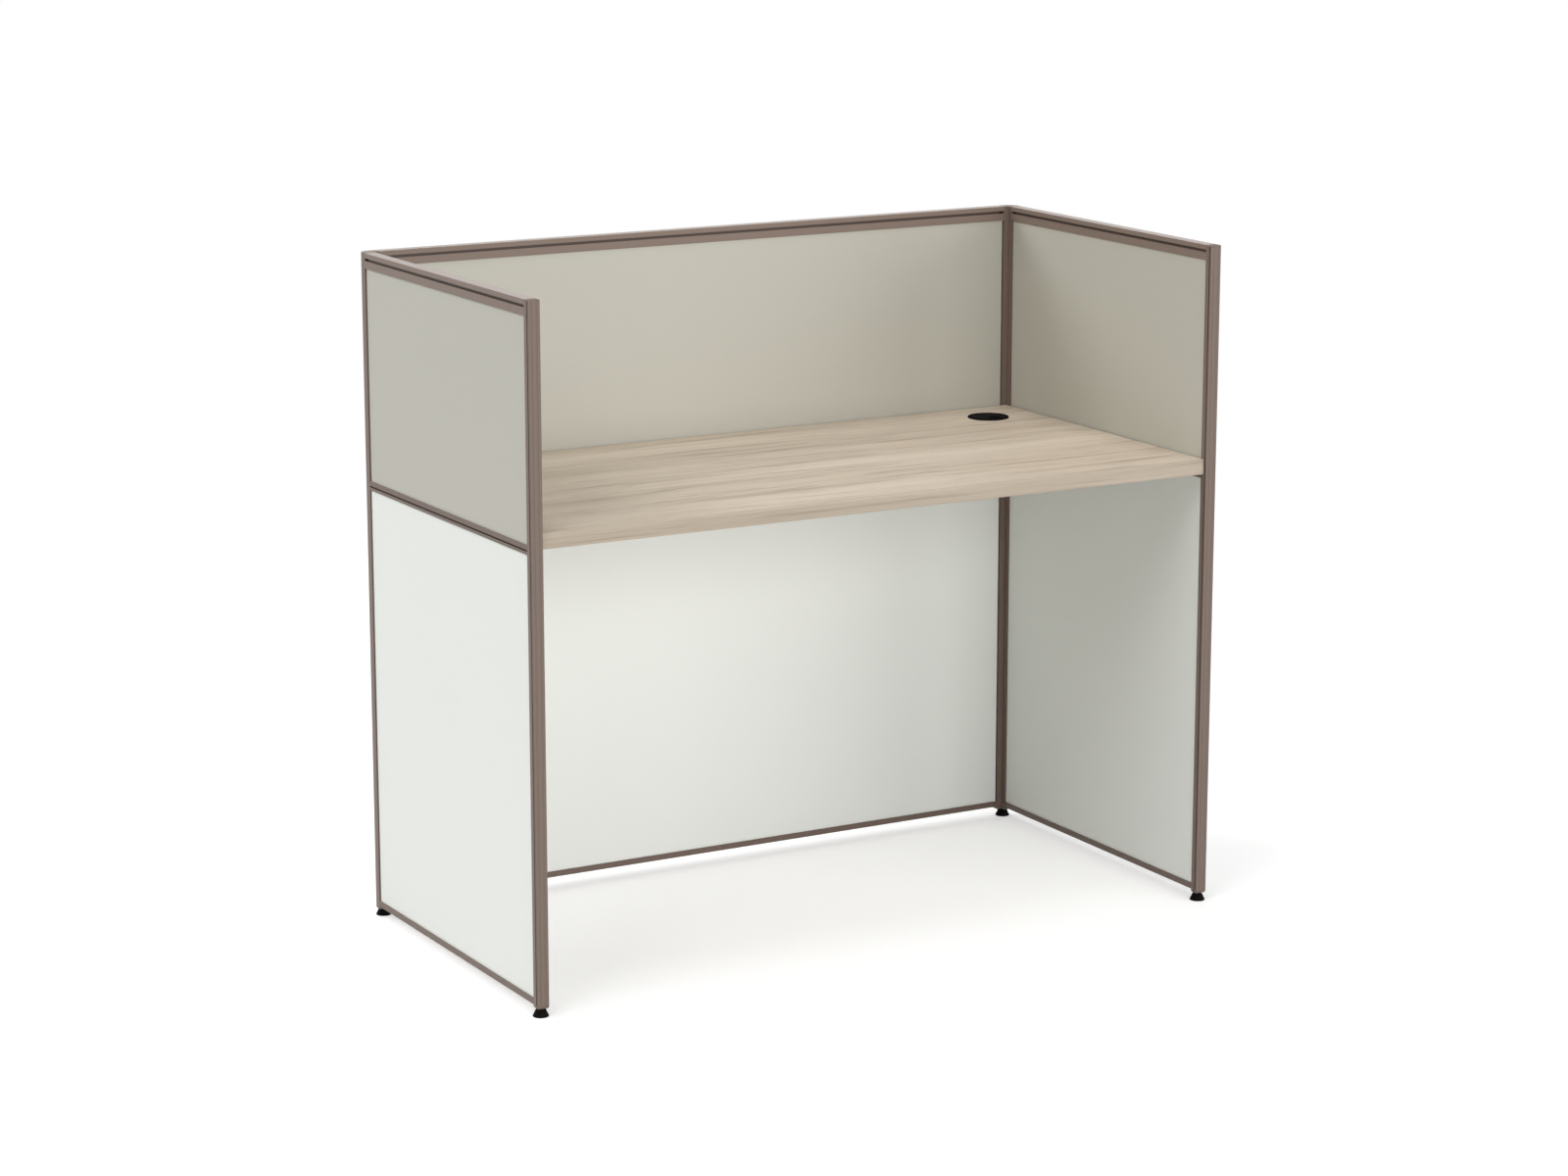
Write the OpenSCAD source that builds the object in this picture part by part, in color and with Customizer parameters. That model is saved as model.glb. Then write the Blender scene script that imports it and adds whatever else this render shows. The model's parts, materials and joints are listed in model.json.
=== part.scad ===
// Screened single-seat workstation: a desktop held between two side screens and a rear
// screen. Each screen is a frame of extruded rails and posts that holds two boards.
// Origin on the floor under the centre, +Z up, the open side towards -Y. Millimetres.

/* [Workspace] */
// Clear width between the side screens
inner_width = 1200; // [900:10:1800]
// Overall depth, from the front covers to the back of the rear screen
overall_depth = 620; // [540:10:900]
// Overall height, from the floor to the top of the screens
overall_height = 1100; // [950:10:1500]
// Thickness of the screens and of their posts
screen_t = 20; // [20:0.5:24]
// Height of the posts above the floor
post_lift = 13.5; // [13:0.5:16]

/* [Desktop] */
// Height of the desktop's upper face above the floor
desk_height = 750; // [680:5:780]
// Thickness of the desktop
desk_t = 25; // [18:1:40]
// Gap between the desktop and the screens on each side
desk_gap = 0.5; // [0.3:0.1:2]
// Distance of the desktop's front edge behind the front covers
desk_setback = 5.5; // [4:0.5:30]
// Thickness of the edge band along the front of the desktop
edge_band_t = 2; // [1:0.5:3]
// Rounding of the edge band's upper and lower edges
edge_band_r = 1; // [0.4:0.1:1]

/* [Rails] */
// Height of the top rails
top_rail_h = 24.4; // [24:0.2:36]
// Height of the middle rails
mid_rail_h = 14.4; // [14:0.2:18]
// Height of the bottom rails
bottom_rail_h = 9.9; // [9.8:0.1:14]
// Rounding of the top rails' upper edges
rail_edge_r = 1; // [0.4:0.1:1.5]
// Depth of the panel channel under the top rails
deep_channel = 8; // [5:0.5:8.5]
// Depth of the panel channels in the middle and bottom rails
shallow_channel = 2.2; // [1.5:0.1:2.4]
// Wall between a rail's panel channel and its inner chamber
rail_wall = 1.4; // [1.2:0.1:1.6]
// Width of the rails' inner chambers
chamber_w = 10; // [9:0.5:11]

/* [Grooves] */
// Distance from the top of the top rails down to their accessory grooves
top_groove_drop = 7.7; // [6:0.1:9]
// Height of the top rails' accessory grooves
top_groove_h = 4.4; // [3.6:0.2:5]
// Depth of the top rails' accessory grooves
top_groove_depth = 3; // [2:0.1:3.2]
// Height that the undercut adds above and below at the bottom of those grooves
groove_undercut = 0.8; // [0.4:0.1:1]
// Depth of that undercut, measured from the bottom of the groove
undercut_depth = 1.2; // [0.8:0.1:1.5]
// Distance from the top of the middle rails down to their grooves
mid_groove_drop = 7; // [5:0.2:8]
// Height of the middle rails' grooves
mid_groove_h = 2.6; // [2.4:0.1:4]
// Depth of the middle rails' grooves
mid_groove_depth = 3; // [2:0.1:3.2]

/* [Panels] */
// Thickness of the screen boards
panel_t = 16; // [14:0.5:16.4]
// Clearance on each face of a board in its channels
panel_fit = 0.2; // [0.1:0.05:0.4]
// Gap between a board's edge and the web of the front post, or the top of its channel
panel_end_gap = 0.6; // [0.3:0.1:1]
// Width of the recessed joint between a board and a corner post
shadow_gap = 2; // [1.5:0.5:6]
// Height of the corner cut from the lower side boards to clear the foot screws
board_notch_h = 23; // [20:1:40]

/* [Front posts] */
// Thickness of the front covers
cover_t = 2.2; // [1.8:0.1:3]
// Gap between a front cover and its post
cover_gap = 2.8; // [2.4:0.1:4]
// Width of the post that shows between the cover's gap and the board
strip_w = 9; // [8.5:0.5:16]
// Thickness of the post's front web
post_web = 1.4; // [1.2:0.1:2]
// Distance from the centre of the post to the inner side of its two ribs
rib_inset = 4.6; // [4.4:0.1:5]
// Thickness of the ribs, and of the cover's legs that grip them
rib_t = 1.2; // [0.8:0.1:1.4]
// Clearance between a rib and the cover's leg
rib_fit = 0.2; // [0.1:0.05:0.3]
// Chamfer along the outer edges of the front covers
cover_chamfer = 1; // [0.4:0.1:1.6]
// Width of the two shallow flutes in each front cover
flute_w = 3; // [2:0.5:4]
// Depth of those flutes
flute_depth = 0.8; // [0.2:0.1:1]
// Distance from the centre of the cover to the middle of each flute
flute_offset = 4.2; // [3:0.2:5]

/* [Corner posts] */
// Length of each leg of a corner post past the screen's thickness
corner_leg = 10; // [8:0.5:14]
// Radius of the corner posts' outer corner
corner_r = 20; // [8:0.5:20]
// Diameter of the bore that runs up a corner post
corner_bore_d = 12; // [10:0.5:12]
// Distance of that bore, and of the foot under it, from the middle of both screens
corner_axis_in = 4; // [3:0.5:4.5]
// Depth of the slots in the ends of a corner post's legs
slot_depth = 7; // [6:0.5:7]
// Width of the joint strip where it shows in the recessed joint
seal_neck_w = 8; // [6:0.5:9]
// Thickness of the strip's fin in the board
seal_fin_t = 3.8; // [3:0.2:5]
// Length of that fin
seal_fin_l = 6.8; // [5:0.2:9]
// Clearance around the strip in its slot and around its fin
seal_fit = 0.2; // [0.1:0.05:0.3]

/* [Caps and shoes] */
// Thickness of the caps on top of the posts
cap_t = 2.4; // [2:0.1:3]
// Depth of the recess in the front caps
cap_recess = 0.8; // [0.4:0.1:1.2]
// Rim left around that recess
cap_rim = 2.8; // [2:0.1:4]
// Length of the prongs and spigots under the caps
cap_spigot_l = 9; // [6:0.5:9.5]
// Height of the shoes under the posts
shoe_h = 5.5; // [5:0.5:7]
// Chamfer around the bottom of the shoes
shoe_chamfer = 2; // [1:0.5:3]
// Height of the prongs on top of the front shoes
shoe_prong_l = 15; // [10:1:18]
// Clearance of prongs, spigots and keys in the profiles
push_fit = 0.1; // [0.05:0.05:0.2]

/* [Feet] */
// Diameter of the foot pads
pad_d = 25; // [22:1:30]
// Height of the straight rim at the bottom of a pad
pad_rim_h = 1.6; // [1:0.2:3]
// Diameter of the top of a pad
pad_top_d = 17; // [14:0.5:19]
// Height of a pad
pad_h = 10.4; // [10:0.2:10.8]
// Chamfer around the bottom of a pad
pad_chamfer = 0.6; // [0.3:0.1:1]
// Diameter of the foot screws
stem_d = 6; // [5:0.5:6]
// Diameter of the round end that a pad holds
journal_d = 8; // [7:0.5:9]
// Height of that round end
journal_h = 4.6; // [4:0.2:5]
// Thickness of a pad under the round end
pad_floor = 3; // [2:0.2:3.2]
// Width across the flats of the screw's hexagon
hex_af = 13; // [10:0.5:13.5]
// Length of the screw above the hexagon
stem_l = 30; // [28:1:34]
// Running clearance around the screws and the round ends
thread_fit = 0.1; // [0.08:0.01:0.1]
// Clearance between faces that meet when a screw is fully in
foot_gap = 0.3; // [0.2:0.05:0.4]

/* [Keys and fasteners] */
// Length of a key inside its rail
key_l = 30; // [25:1:60]
// Shank diameter of the screws that hold the keys
screw_d = 4; // [3:0.5:4]
// Clearance around screws in their holes
screw_fit = 0.05; // [0.05:0.01:0.2]
// Head diameter of the screws behind the front covers
head_d = 7.4; // [6:0.2:7.6]
// Head height of those screws
head_h = 2; // [1.5:0.1:2.2]
// Length of those screws in the key
screw_l = 12; // [8:1:20]
// Width across the flats of the hexagon sockets
socket_af = 2.5; // [2:0.25:3]
// Depth of the hexagon sockets
socket_depth = 1.2; // [0.8:0.1:1.4]
// Head diameter of the countersunk key screws
csk_d = 6.6; // [5:0.2:7.4]
// Length of the countersunk key screws below the rail's wall
csk_l = 3.4; // [2.5:0.1:3.6]
// Distance of a countersunk key screw from the rail's end
csk_inset = 12; // [10:1:20]
// Distance of a grub screw from the top rail's end
grub_inset = 5; // [4:0.5:8]
// Length of a grub screw
grub_l = 2.6; // [2:0.1:3]

/* [Desktop supports] */
// Length of the angles under the desktop's sides
side_angle_l = 360; // [300:10:440]
// Length of the angle under the back of the desktop
back_angle_l = 900; // [600:10:1000]
// Width of the angles' upper leg under the desktop
angle_w = 32; // [25:1:50]
// Height of the angles' leg that hangs along the screen
angle_h = 28; // [20:1:40]
// Thickness of the angles
angle_t = 2.3; // [1.5:0.1:2.3]
// Gap around an angle's edge in the rail's groove, and beside the rail
angle_fit = 0.3; // [0.2:0.05:0.5]
// Distance of the desktop's screws from the screen
desk_screw_in = 20; // [12:1:24]
// Distance of the end screws from the ends of an angle
desk_screw_end = 25; // [12:1:40]
// Head diameter of the desktop's screws
desk_head_d = 8; // [6:0.5:9]
// Head height of the desktop's screws
desk_head_h = 2.2; // [1.5:0.1:3]
// Length of the desktop's screws above the angle
desk_screw_l = 14; // [10:1:16]

/* [Cable port] */
// Distance of the port's centre from the right screen
port_side = 95; // [80:5:300]
// Distance of the port's centre from the rear screen
port_back = 90; // [60:5:200]
// Diameter of the hole in the desktop
port_hole_d = 60; // [60:1:80]
// Clearance around the liner in that hole
port_fit = 0.2; // [0.1:0.1:0.5]
// Diameter of the liner's flange
flange_d = 71; // [71:1:95]
// Height of the liner's flange above the desktop
flange_h = 2.2; // [2:0.1:3]
// Width of the rim around the lid
flange_rim = 3.2; // [2:0.1:3.4]
// Height of the liner's tube above the desktop's underside
liner_rise = 3; // [2:0.5:6]
// Diameter of the liner's bore
liner_bore_d = 54; // [50:0.5:54]
// Depth of the pocket for the gate, below the lid's seat
gate_pocket = 3; // [2.6:0.1:4]
// Wall of the liner around that pocket
pocket_wall = 1; // [0.8:0.1:1.2]
// Thickness of the lid
lid_t = 1.6; // [1.4:0.1:2]
// Thickness of the gate
gate_t = 2.2; // [1.6:0.1:2.2]
// Clearance around the lid and the gate
lid_fit = 0.3; // [0.2:0.05:0.5]
// Width of the cable notches in the lid and the gate
notch_w = 20; // [14:1:24]
// Distance from the port's centre to the inner end of the notches
notch_inner = 9; // [8:0.5:12]
// Diameter of the pin on which the gate turns
gate_pin_d = 6; // [5:0.5:7]

/* [Hidden] */
$fn = 64;

// Overrun of every cut past the face that it opens
over = 1;

// Places of the screens
half_in = inner_width / 2;
half_out = half_in + screen_t;
wall_x = half_in + screen_t / 2;
y_front = -overall_depth / 2;
y_back = overall_depth / 2;
back_in = y_back - screen_t;
wall_y = y_back - screen_t / 2;
rear_foot_x = wall_x - corner_axis_in;
rear_foot_y = wall_y - corner_axis_in;

// Where the post's strip begins, and where rails begin and end
strip_y = y_front + cover_t + cover_gap;
rail_y0 = strip_y + strip_w;
rail_y1 = back_in - corner_leg;
rail_x1 = half_in - corner_leg;

// Heights of the rails and posts
rail_z = post_lift + shoe_h;
bottom_top = rail_z + bottom_rail_h;
desk_under = desk_height - desk_t;
mid_top = desk_under + mid_groove_drop;
mid_z = mid_top - mid_rail_h;
top_z = overall_height - top_rail_h;
post_top = overall_height - cap_t;

// Profiles
channel_w = panel_t + 2 * panel_fit;
slot_w = chamber_w;
key_w = chamber_w - 2 * push_fit;
top_chamber_z = deep_channel + rail_wall;
top_chamber_h = top_rail_h - top_chamber_z - cap_t - panel_fit;
mid_chamber_z = shallow_channel + rail_wall;
mid_chamber_h = mid_rail_h - 2 * mid_chamber_z;
bottom_chamber_z = rail_wall;
bottom_chamber_h = bottom_rail_h - shallow_channel - 2 * rail_wall;
top_groove_z = top_rail_h - top_groove_drop - top_groove_h;
mid_groove_z = mid_rail_h - mid_groove_drop - mid_groove_h;

// Boards
panel_y0 = strip_y + post_web + panel_end_gap;
panel_y1 = rail_y1 - shadow_gap;
panel_x1 = rail_x1 - shadow_gap;
upper_z0 = mid_top - shallow_channel;
upper_z1 = top_z + deep_channel - panel_end_gap;
lower_z0 = bottom_top - shallow_channel;
lower_z1 = mid_z + shallow_channel - panel_fit;

// Keys in the front posts and in the corner posts' slots
key_y0 = strip_y + post_web + panel_fit;
key_y1 = rail_y1 + slot_depth - panel_fit;
key_x1 = rail_x1 + slot_depth - panel_fit;
prong_in = chamber_w / 2 + panel_fit;
prong_w = channel_w / 2 - push_fit - prong_in;

// Feet
foot_y = y_front + screen_t / 2;
hex_z = pad_h + foot_gap;
hex_h = post_lift - foot_gap - hex_z;
stem_top = hex_z + hex_h + stem_l;
journal_z = pad_floor + foot_gap;

// Desktop
desk_x = half_in - desk_gap;
desk_y0 = y_front + desk_setback;
desk_y1 = back_in - desk_gap;

// Cable port
port_x = half_in - port_side;
port_y = back_in - port_back;
liner_z = desk_under + liner_rise;
lid_top = desk_height + flange_h;
lid_z = lid_top - lid_t;
pocket_z = lid_z - gate_pocket;
pocket_d = port_hole_d - 2 * port_fit - 2 * pocket_wall;
gate_z = pocket_z + lid_fit;
lid_d = flange_d - 2 * flange_rim - 2 * lid_fit;
gate_d = pocket_d - 2 * lid_fit;

// Extrusions of a profile drawn across a screen's thickness (x) and upwards (y)
module along_y(y0, y1) {
    translate([0, y1, 0]) rotate([90, 0, 0]) linear_extrude(y1 - y0) children();
}

module along_x(x0, x1) {
    translate([x0, 0, 0]) rotate([90, 0, 90]) linear_extrude(x1 - x0) children();
}

// Colours
module taupe() { color([0.55, 0.48, 0.45]) children(); }
module light_board() { color([0.75, 0.74, 0.69]) children(); }
module white_board() { color([0.88, 0.88, 0.86]) children(); }
module oak() { color([0.74, 0.68, 0.59]) children(); }
module black() { color([0.1, 0.1, 0.1]) children(); }
module dark_brown() { color([0.24, 0.19, 0.16]) children(); }
module zinc() { color([0.62, 0.63, 0.65]) children(); }

// Profiles of the rails

// A bar with its upper edges rounded
module rounded_top(w, h, r) {
    translate([-w / 2, 0]) square([w, h - r]);
    translate([-w / 2 + r, 0]) square([w - 2 * r, h]);
    for (s = [-1, 1]) translate([s * (w / 2 - r), h - r]) circle(r = r);
}

// A groove in both faces of a rail
module face_grooves(z, h, depth) {
    for (s = [0, 1]) mirror([s, 0]) translate([screen_t / 2 - depth, z]) square([depth + over, h]);
}

module groove_pockets(z, h, depth) {
    for (s = [0, 1]) mirror([s, 0])
        translate([screen_t / 2 - depth, z - groove_undercut])
            square([undercut_depth, h + 2 * groove_undercut]);
}

module chamber(z, h) {
    translate([-chamber_w / 2, z]) square([chamber_w, h]);
}

// Channels that open downwards from z, and upwards to the top of the rail
module channel_below(depth) {
    translate([-channel_w / 2, -over]) square([channel_w, depth + over]);
}

module channel_above(h, depth) {
    translate([-channel_w / 2, h - depth]) square([channel_w, depth + over]);
}

module top_rail_shape() {
    difference() {
        rounded_top(screen_t, top_rail_h, rail_edge_r);
        face_grooves(top_groove_z, top_groove_h, top_groove_depth);
        groove_pockets(top_groove_z, top_groove_h, top_groove_depth);
        channel_below(deep_channel);
        chamber(top_chamber_z, top_chamber_h);
    }
}

module mid_rail_shape() {
    difference() {
        translate([-screen_t / 2, 0]) square([screen_t, mid_rail_h]);
        face_grooves(mid_groove_z, mid_groove_h, mid_groove_depth);
        channel_below(shallow_channel);
        channel_above(mid_rail_h, shallow_channel);
        chamber(mid_chamber_z, mid_chamber_h);
    }
}

module bottom_rail_shape() {
    difference() {
        translate([-screen_t / 2, 0]) square([screen_t, bottom_rail_h]);
        channel_above(bottom_rail_h, shallow_channel);
        chamber(bottom_chamber_z, bottom_chamber_h);
    }
}

// Holes for grub screws in the grooves, on an axis across the screen
module across_x(x, y, z) { translate([x, y, z]) rotate([0, 90, 0]) children(); }
module across_y(x, y, z) { translate([x, y, z]) rotate([90, 0, 0]) children(); }

module grub_hole() {
    cylinder(d = screw_d + 2 * screw_fit, h = screen_t + 2 * over, center = true);
}

// Countersunk hole through a rail's wall, its head face at the origin, going down
module csk_hole() {
    translate([0, 0, -rail_wall])
        cylinder(d1 = screw_d + 2 * screw_fit, d2 = csk_d + 2 * screw_fit, h = rail_wall);
    translate([0, 0, -rail_wall - over])
        cylinder(d = screw_d + 2 * screw_fit, h = rail_wall + over);
    cylinder(d = csk_d + 2 * screw_fit, h = over);
}

grub_z = top_z + top_groove_z + top_groove_h / 2;
mid_csk_z = mid_top - shallow_channel;

// Side rails
module side_top_rail() {
    taupe() difference() {
        translate([-wall_x, 0, top_z]) along_y(rail_y0, rail_y1) top_rail_shape();
        across_x(-wall_x, rail_y1 - grub_inset, grub_z) grub_hole();
    }
}

module side_mid_rail() {
    taupe() difference() {
        translate([-wall_x, 0, mid_z]) along_y(rail_y0, rail_y1) mid_rail_shape();
        translate([-wall_x, rail_y1 - csk_inset, mid_csk_z]) csk_hole();
    }
}

module side_bottom_rail() {
    taupe() difference() {
        translate([-wall_x, 0, rail_z]) along_y(rail_y0, rail_y1) bottom_rail_shape();
        translate([-wall_x, rail_y1 - csk_inset, rail_z]) mirror([0, 0, 1]) csk_hole();
    }
}

module left_top_rail() { side_top_rail(); }
module left_middle_rail() { side_mid_rail(); }
module left_bottom_rail() { side_bottom_rail(); }
module right_top_rail() { mirror([1, 0, 0]) side_top_rail(); }
module right_middle_rail() { mirror([1, 0, 0]) side_mid_rail(); }
module right_bottom_rail() { mirror([1, 0, 0]) side_bottom_rail(); }

// Rear rails
module back_top_rail() {
    taupe() difference() {
        translate([0, wall_y, top_z]) along_x(-rail_x1, rail_x1) top_rail_shape();
        for (s = [-1, 1]) across_y(s * (rail_x1 - grub_inset), wall_y, grub_z) grub_hole();
    }
}

module back_middle_rail() {
    taupe() difference() {
        translate([0, wall_y, mid_z]) along_x(-rail_x1, rail_x1) mid_rail_shape();
        for (s = [-1, 1]) translate([s * (rail_x1 - csk_inset), wall_y, mid_csk_z]) csk_hole();
    }
}

module back_bottom_rail() {
    taupe() difference() {
        translate([0, wall_y, rail_z]) along_x(-rail_x1, rail_x1) bottom_rail_shape();
        for (s = [-1, 1])
            translate([s * (rail_x1 - csk_inset), wall_y, rail_z]) mirror([0, 0, 1]) csk_hole();
    }
}

// Front posts: a web with two ribs for the cover, and walls that hold the boards.
// Their plans are drawn from the centre of the cover's front face, going back.
web_front = cover_t + cover_gap;
post_back = web_front + strip_w;

module post_plan() {
    difference() {
        translate([-screen_t / 2, web_front]) square([screen_t, strip_w]);
        translate([-channel_w / 2, web_front + post_web]) square([channel_w, strip_w]);
    }
    for (x = [rib_inset, -rib_inset - rib_t])
        translate([x, cover_t + rib_fit]) square([rib_t, cover_gap - rib_fit + post_web / 2]);
}

module cover_plan() {
    difference() {
        polygon([[-screen_t / 2, cover_t], [-screen_t / 2, cover_chamfer],
                 [-screen_t / 2 + cover_chamfer, 0], [screen_t / 2 - cover_chamfer, 0],
                 [screen_t / 2, cover_chamfer], [screen_t / 2, cover_t]]);
        for (s = [-1, 1])
            polygon([[s * flute_offset - flute_w / 2, 0], [s * flute_offset, flute_depth],
                     [s * flute_offset + flute_w / 2, 0]]);
    }
    for (x = [rib_inset + rib_t + rib_fit, -rib_inset - 2 * rib_t - rib_fit])
        translate([x, cover_t / 2]) square([rib_t, cover_t / 2 + cover_gap - rib_fit]);
}

key_screw_zs = [mid_z + mid_chamber_z + mid_chamber_h / 2, top_z + top_chamber_z + top_chamber_h / 2];

module front_post() {
    taupe() difference() {
        translate([-wall_x, y_front, rail_z]) linear_extrude(post_top - rail_z) post_plan();
        for (z = key_screw_zs)
            translate([-wall_x, strip_y - over, z]) rotate([-90, 0, 0])
                cylinder(d = screw_d + 2 * screw_fit, h = post_web + 2 * over);
    }
}

module front_cover() {
    taupe() translate([-wall_x, y_front, rail_z]) linear_extrude(post_top - rail_z) cover_plan();
}

// Two prongs that fill the post's channel on either side of a key
module prongs(z, l) {
    for (s = [0, 1]) mirror([s, 0, 0])
        translate([prong_in, web_front + post_web + push_fit, z])
            cube([prong_w, strip_w - post_web - 2 * push_fit, l]);
}

// Outline of the post and cover with its front corners chamfered
module post_outline() {
    polygon([[-screen_t / 2, post_back], [-screen_t / 2, cover_chamfer],
             [-screen_t / 2 + cover_chamfer, 0], [screen_t / 2 - cover_chamfer, 0],
             [screen_t / 2, cover_chamfer], [screen_t / 2, post_back]]);
}

module front_cap() {
    taupe() translate([-wall_x, y_front, 0]) {
        difference() {
            intersection() {
                translate([0, 0, post_top]) linear_extrude(cap_t) post_outline();
                translate([0, 0, post_top]) along_y(0, post_back) rounded_top(screen_t, cap_t, rail_edge_r);
            }
            translate([-screen_t / 2 + cap_rim, cap_rim, overall_height - cap_recess])
                cube([screen_t - 2 * cap_rim, post_back - 2 * cap_rim, cap_recess + over]);
        }
        prongs(post_top - cap_spigot_l, cap_spigot_l);
    }
}

// Side view of a shoe: straight sides with the bottom edges cut at 45 degrees
module shoe_side(x0, x1) {
    polygon([[x0, shoe_h], [x0, shoe_chamfer], [x0 + shoe_chamfer, 0],
             [x1 - shoe_chamfer, 0], [x1, shoe_chamfer], [x1, shoe_h]]);
}

module stem_hole(z, l) {
    translate([0, 0, z - over]) cylinder(d = stem_d + 2 * thread_fit, h = l + 2 * over);
}

module front_shoe() {
    taupe() translate([-wall_x, y_front, 0]) {
        difference() {
            intersection() {
                translate([0, 0, post_lift]) linear_extrude(shoe_h) post_outline();
                translate([0, 0, post_lift]) along_y(0, post_back) shoe_side(-screen_t / 2, screen_t / 2);
                translate([0, 0, post_lift]) along_x(-screen_t / 2, screen_t / 2) shoe_side(0, post_back);
            }
            translate([0, foot_y - y_front, 0]) stem_hole(post_lift, shoe_h);
        }
        prongs(rail_z, shoe_prong_l);
    }
}

module left_front_post() { front_post(); }
module left_front_cover() { front_cover(); }
module left_front_cap() { front_cap(); }
module left_front_shoe() { front_shoe(); }
module right_front_post() { mirror([1, 0, 0]) front_post(); }
module right_front_cover() { mirror([1, 0, 0]) front_cover(); }
module right_front_cap() { mirror([1, 0, 0]) front_cap(); }
module right_front_shoe() { mirror([1, 0, 0]) front_shoe(); }

// Corner posts: drawn about the centre of the post, one leg towards the front and one
// towards the middle, and the outer corner rounded
module corner_plan() {
    difference() {
        union() {
            translate([-screen_t / 2, -leg_reach]) square([screen_t, screen_t + corner_leg]);
            translate([-screen_t / 2, -screen_t / 2]) square([screen_t + corner_leg, screen_t]);
        }
        difference() {
            translate([-screen_t / 2 - over, screen_t / 2 - corner_r])
                square(corner_r + over);
            translate([-screen_t / 2 + corner_r, screen_t / 2 - corner_r]) circle(r = corner_r);
        }
    }
}

// The bore, the cap's spigot and the foot share an axis inside the rounded corner
module at_corner_axis() {
    translate([corner_axis_in, -corner_axis_in]) children();
}

leg_reach = screen_t / 2 + corner_leg;

module leg_slot() {
    translate([-slot_w / 2, -leg_reach - over]) square([slot_w, slot_depth + over]);
}

module corner_post() {
    taupe() translate([-wall_x, wall_y, rail_z]) linear_extrude(post_top - rail_z) difference() {
        corner_plan();
        at_corner_axis() circle(d = corner_bore_d);
        leg_slot();
        rotate([0, 0, 90]) leg_slot();
    }
}

module corner_cap() {
    taupe() translate([-wall_x, wall_y, post_top]) {
        intersection() {
            linear_extrude(cap_t) corner_plan();
            union() {
                along_y(-leg_reach, screen_t / 2) rounded_top(screen_t, cap_t, rail_edge_r);
                along_x(-screen_t / 2, leg_reach) rounded_top(screen_t, cap_t, rail_edge_r);
            }
        }
        at_corner_axis() translate([0, 0, -cap_spigot_l])
            cylinder(d = corner_bore_d - 2 * push_fit, h = cap_spigot_l);
    }
}

module corner_shoe() {
    taupe() translate([-wall_x, wall_y, post_lift]) difference() {
        intersection() {
            linear_extrude(shoe_h) corner_plan();
            along_y(-leg_reach, screen_t / 2) shoe_side(-screen_t / 2, leg_reach);
            along_x(-screen_t / 2, leg_reach) shoe_side(-leg_reach, screen_t / 2);
        }
        at_corner_axis() stem_hole(0, shoe_h);
    }
}

module left_corner_post() { corner_post(); }
module left_corner_cap() { corner_cap(); }
module left_corner_shoe() { corner_shoe(); }
module right_corner_post() { mirror([1, 0, 0]) corner_post(); }
module right_corner_cap() { mirror([1, 0, 0]) corner_cap(); }
module right_corner_shoe() { mirror([1, 0, 0]) corner_shoe(); }

// Joint strips: a foot in the corner post's slot, a neck across the recessed joint and
// a fin in the board's edge, in one length below the middle rail and one above it
module strip_plan() {
    translate([-slot_w / 2 + seal_fit, -leg_reach])
        square([slot_w - 2 * seal_fit, slot_depth - seal_fit]);
    translate([-seal_neck_w / 2, -leg_reach - shadow_gap]) square([seal_neck_w, shadow_gap]);
    translate([-seal_fin_t / 2, -leg_reach - shadow_gap - seal_fin_l])
        square([seal_fin_t, seal_fin_l]);
}

module strip_lengths() {
    translate([0, 0, bottom_top]) linear_extrude(mid_z - bottom_top) children();
    translate([0, 0, mid_top]) linear_extrude(top_z - mid_top) children();
}

module side_joint_strip() {
    dark_brown() translate([-wall_x, wall_y, 0]) strip_lengths() strip_plan();
}

module back_joint_strip() {
    dark_brown() translate([-wall_x, wall_y, 0]) rotate([0, 0, 90]) strip_lengths() strip_plan();
}

module left_side_joint_strip() { side_joint_strip(); }
module left_back_joint_strip() { back_joint_strip(); }
module right_side_joint_strip() { mirror([1, 0, 0]) side_joint_strip(); }
module right_back_joint_strip() { mirror([1, 0, 0]) back_joint_strip(); }

// Boards
fin_slot_w = seal_fin_t + 2 * seal_fit;
fin_slot_l = seal_fin_l + seal_fit;

module side_board(z0, z1) {
    difference() {
        translate([-wall_x - panel_t / 2, panel_y0, z0]) cube([panel_t, panel_y1 - panel_y0, z1 - z0]);
        translate([-wall_x - fin_slot_w / 2, panel_y1 - fin_slot_l, z0 - over])
            cube([fin_slot_w, fin_slot_l + over, z1 - z0 + 2 * over]);
    }
}

// The lower board stops short of the foot screw inside the front post
module side_lower_board() {
    difference() {
        side_board(lower_z0, lower_z1);
        translate([-wall_x - panel_t / 2 - over, panel_y0 - over, lower_z0 - over])
            cube([panel_t + 2 * over, rail_y0 - panel_y0 + over, board_notch_h + over]);
    }
}

module back_board(z0, z1) {
    difference() {
        translate([-panel_x1, wall_y - panel_t / 2, z0]) cube([2 * panel_x1, panel_t, z1 - z0]);
        for (s = [0, 1]) mirror([s, 0, 0])
            translate([panel_x1 - fin_slot_l, wall_y - fin_slot_w / 2, z0 - over])
                cube([fin_slot_l + over, fin_slot_w, z1 - z0 + 2 * over]);
    }
}

module left_upper_panel() { light_board() side_board(upper_z0, upper_z1); }
module left_lower_panel() { white_board() side_lower_board(); }
module right_upper_panel() { light_board() mirror([1, 0, 0]) side_board(upper_z0, upper_z1); }
module right_lower_panel() { white_board() mirror([1, 0, 0]) side_lower_board(); }
module back_upper_panel() { light_board() back_board(upper_z0, upper_z1); }
module back_lower_panel() { white_board() back_board(lower_z0, lower_z1); }

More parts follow.
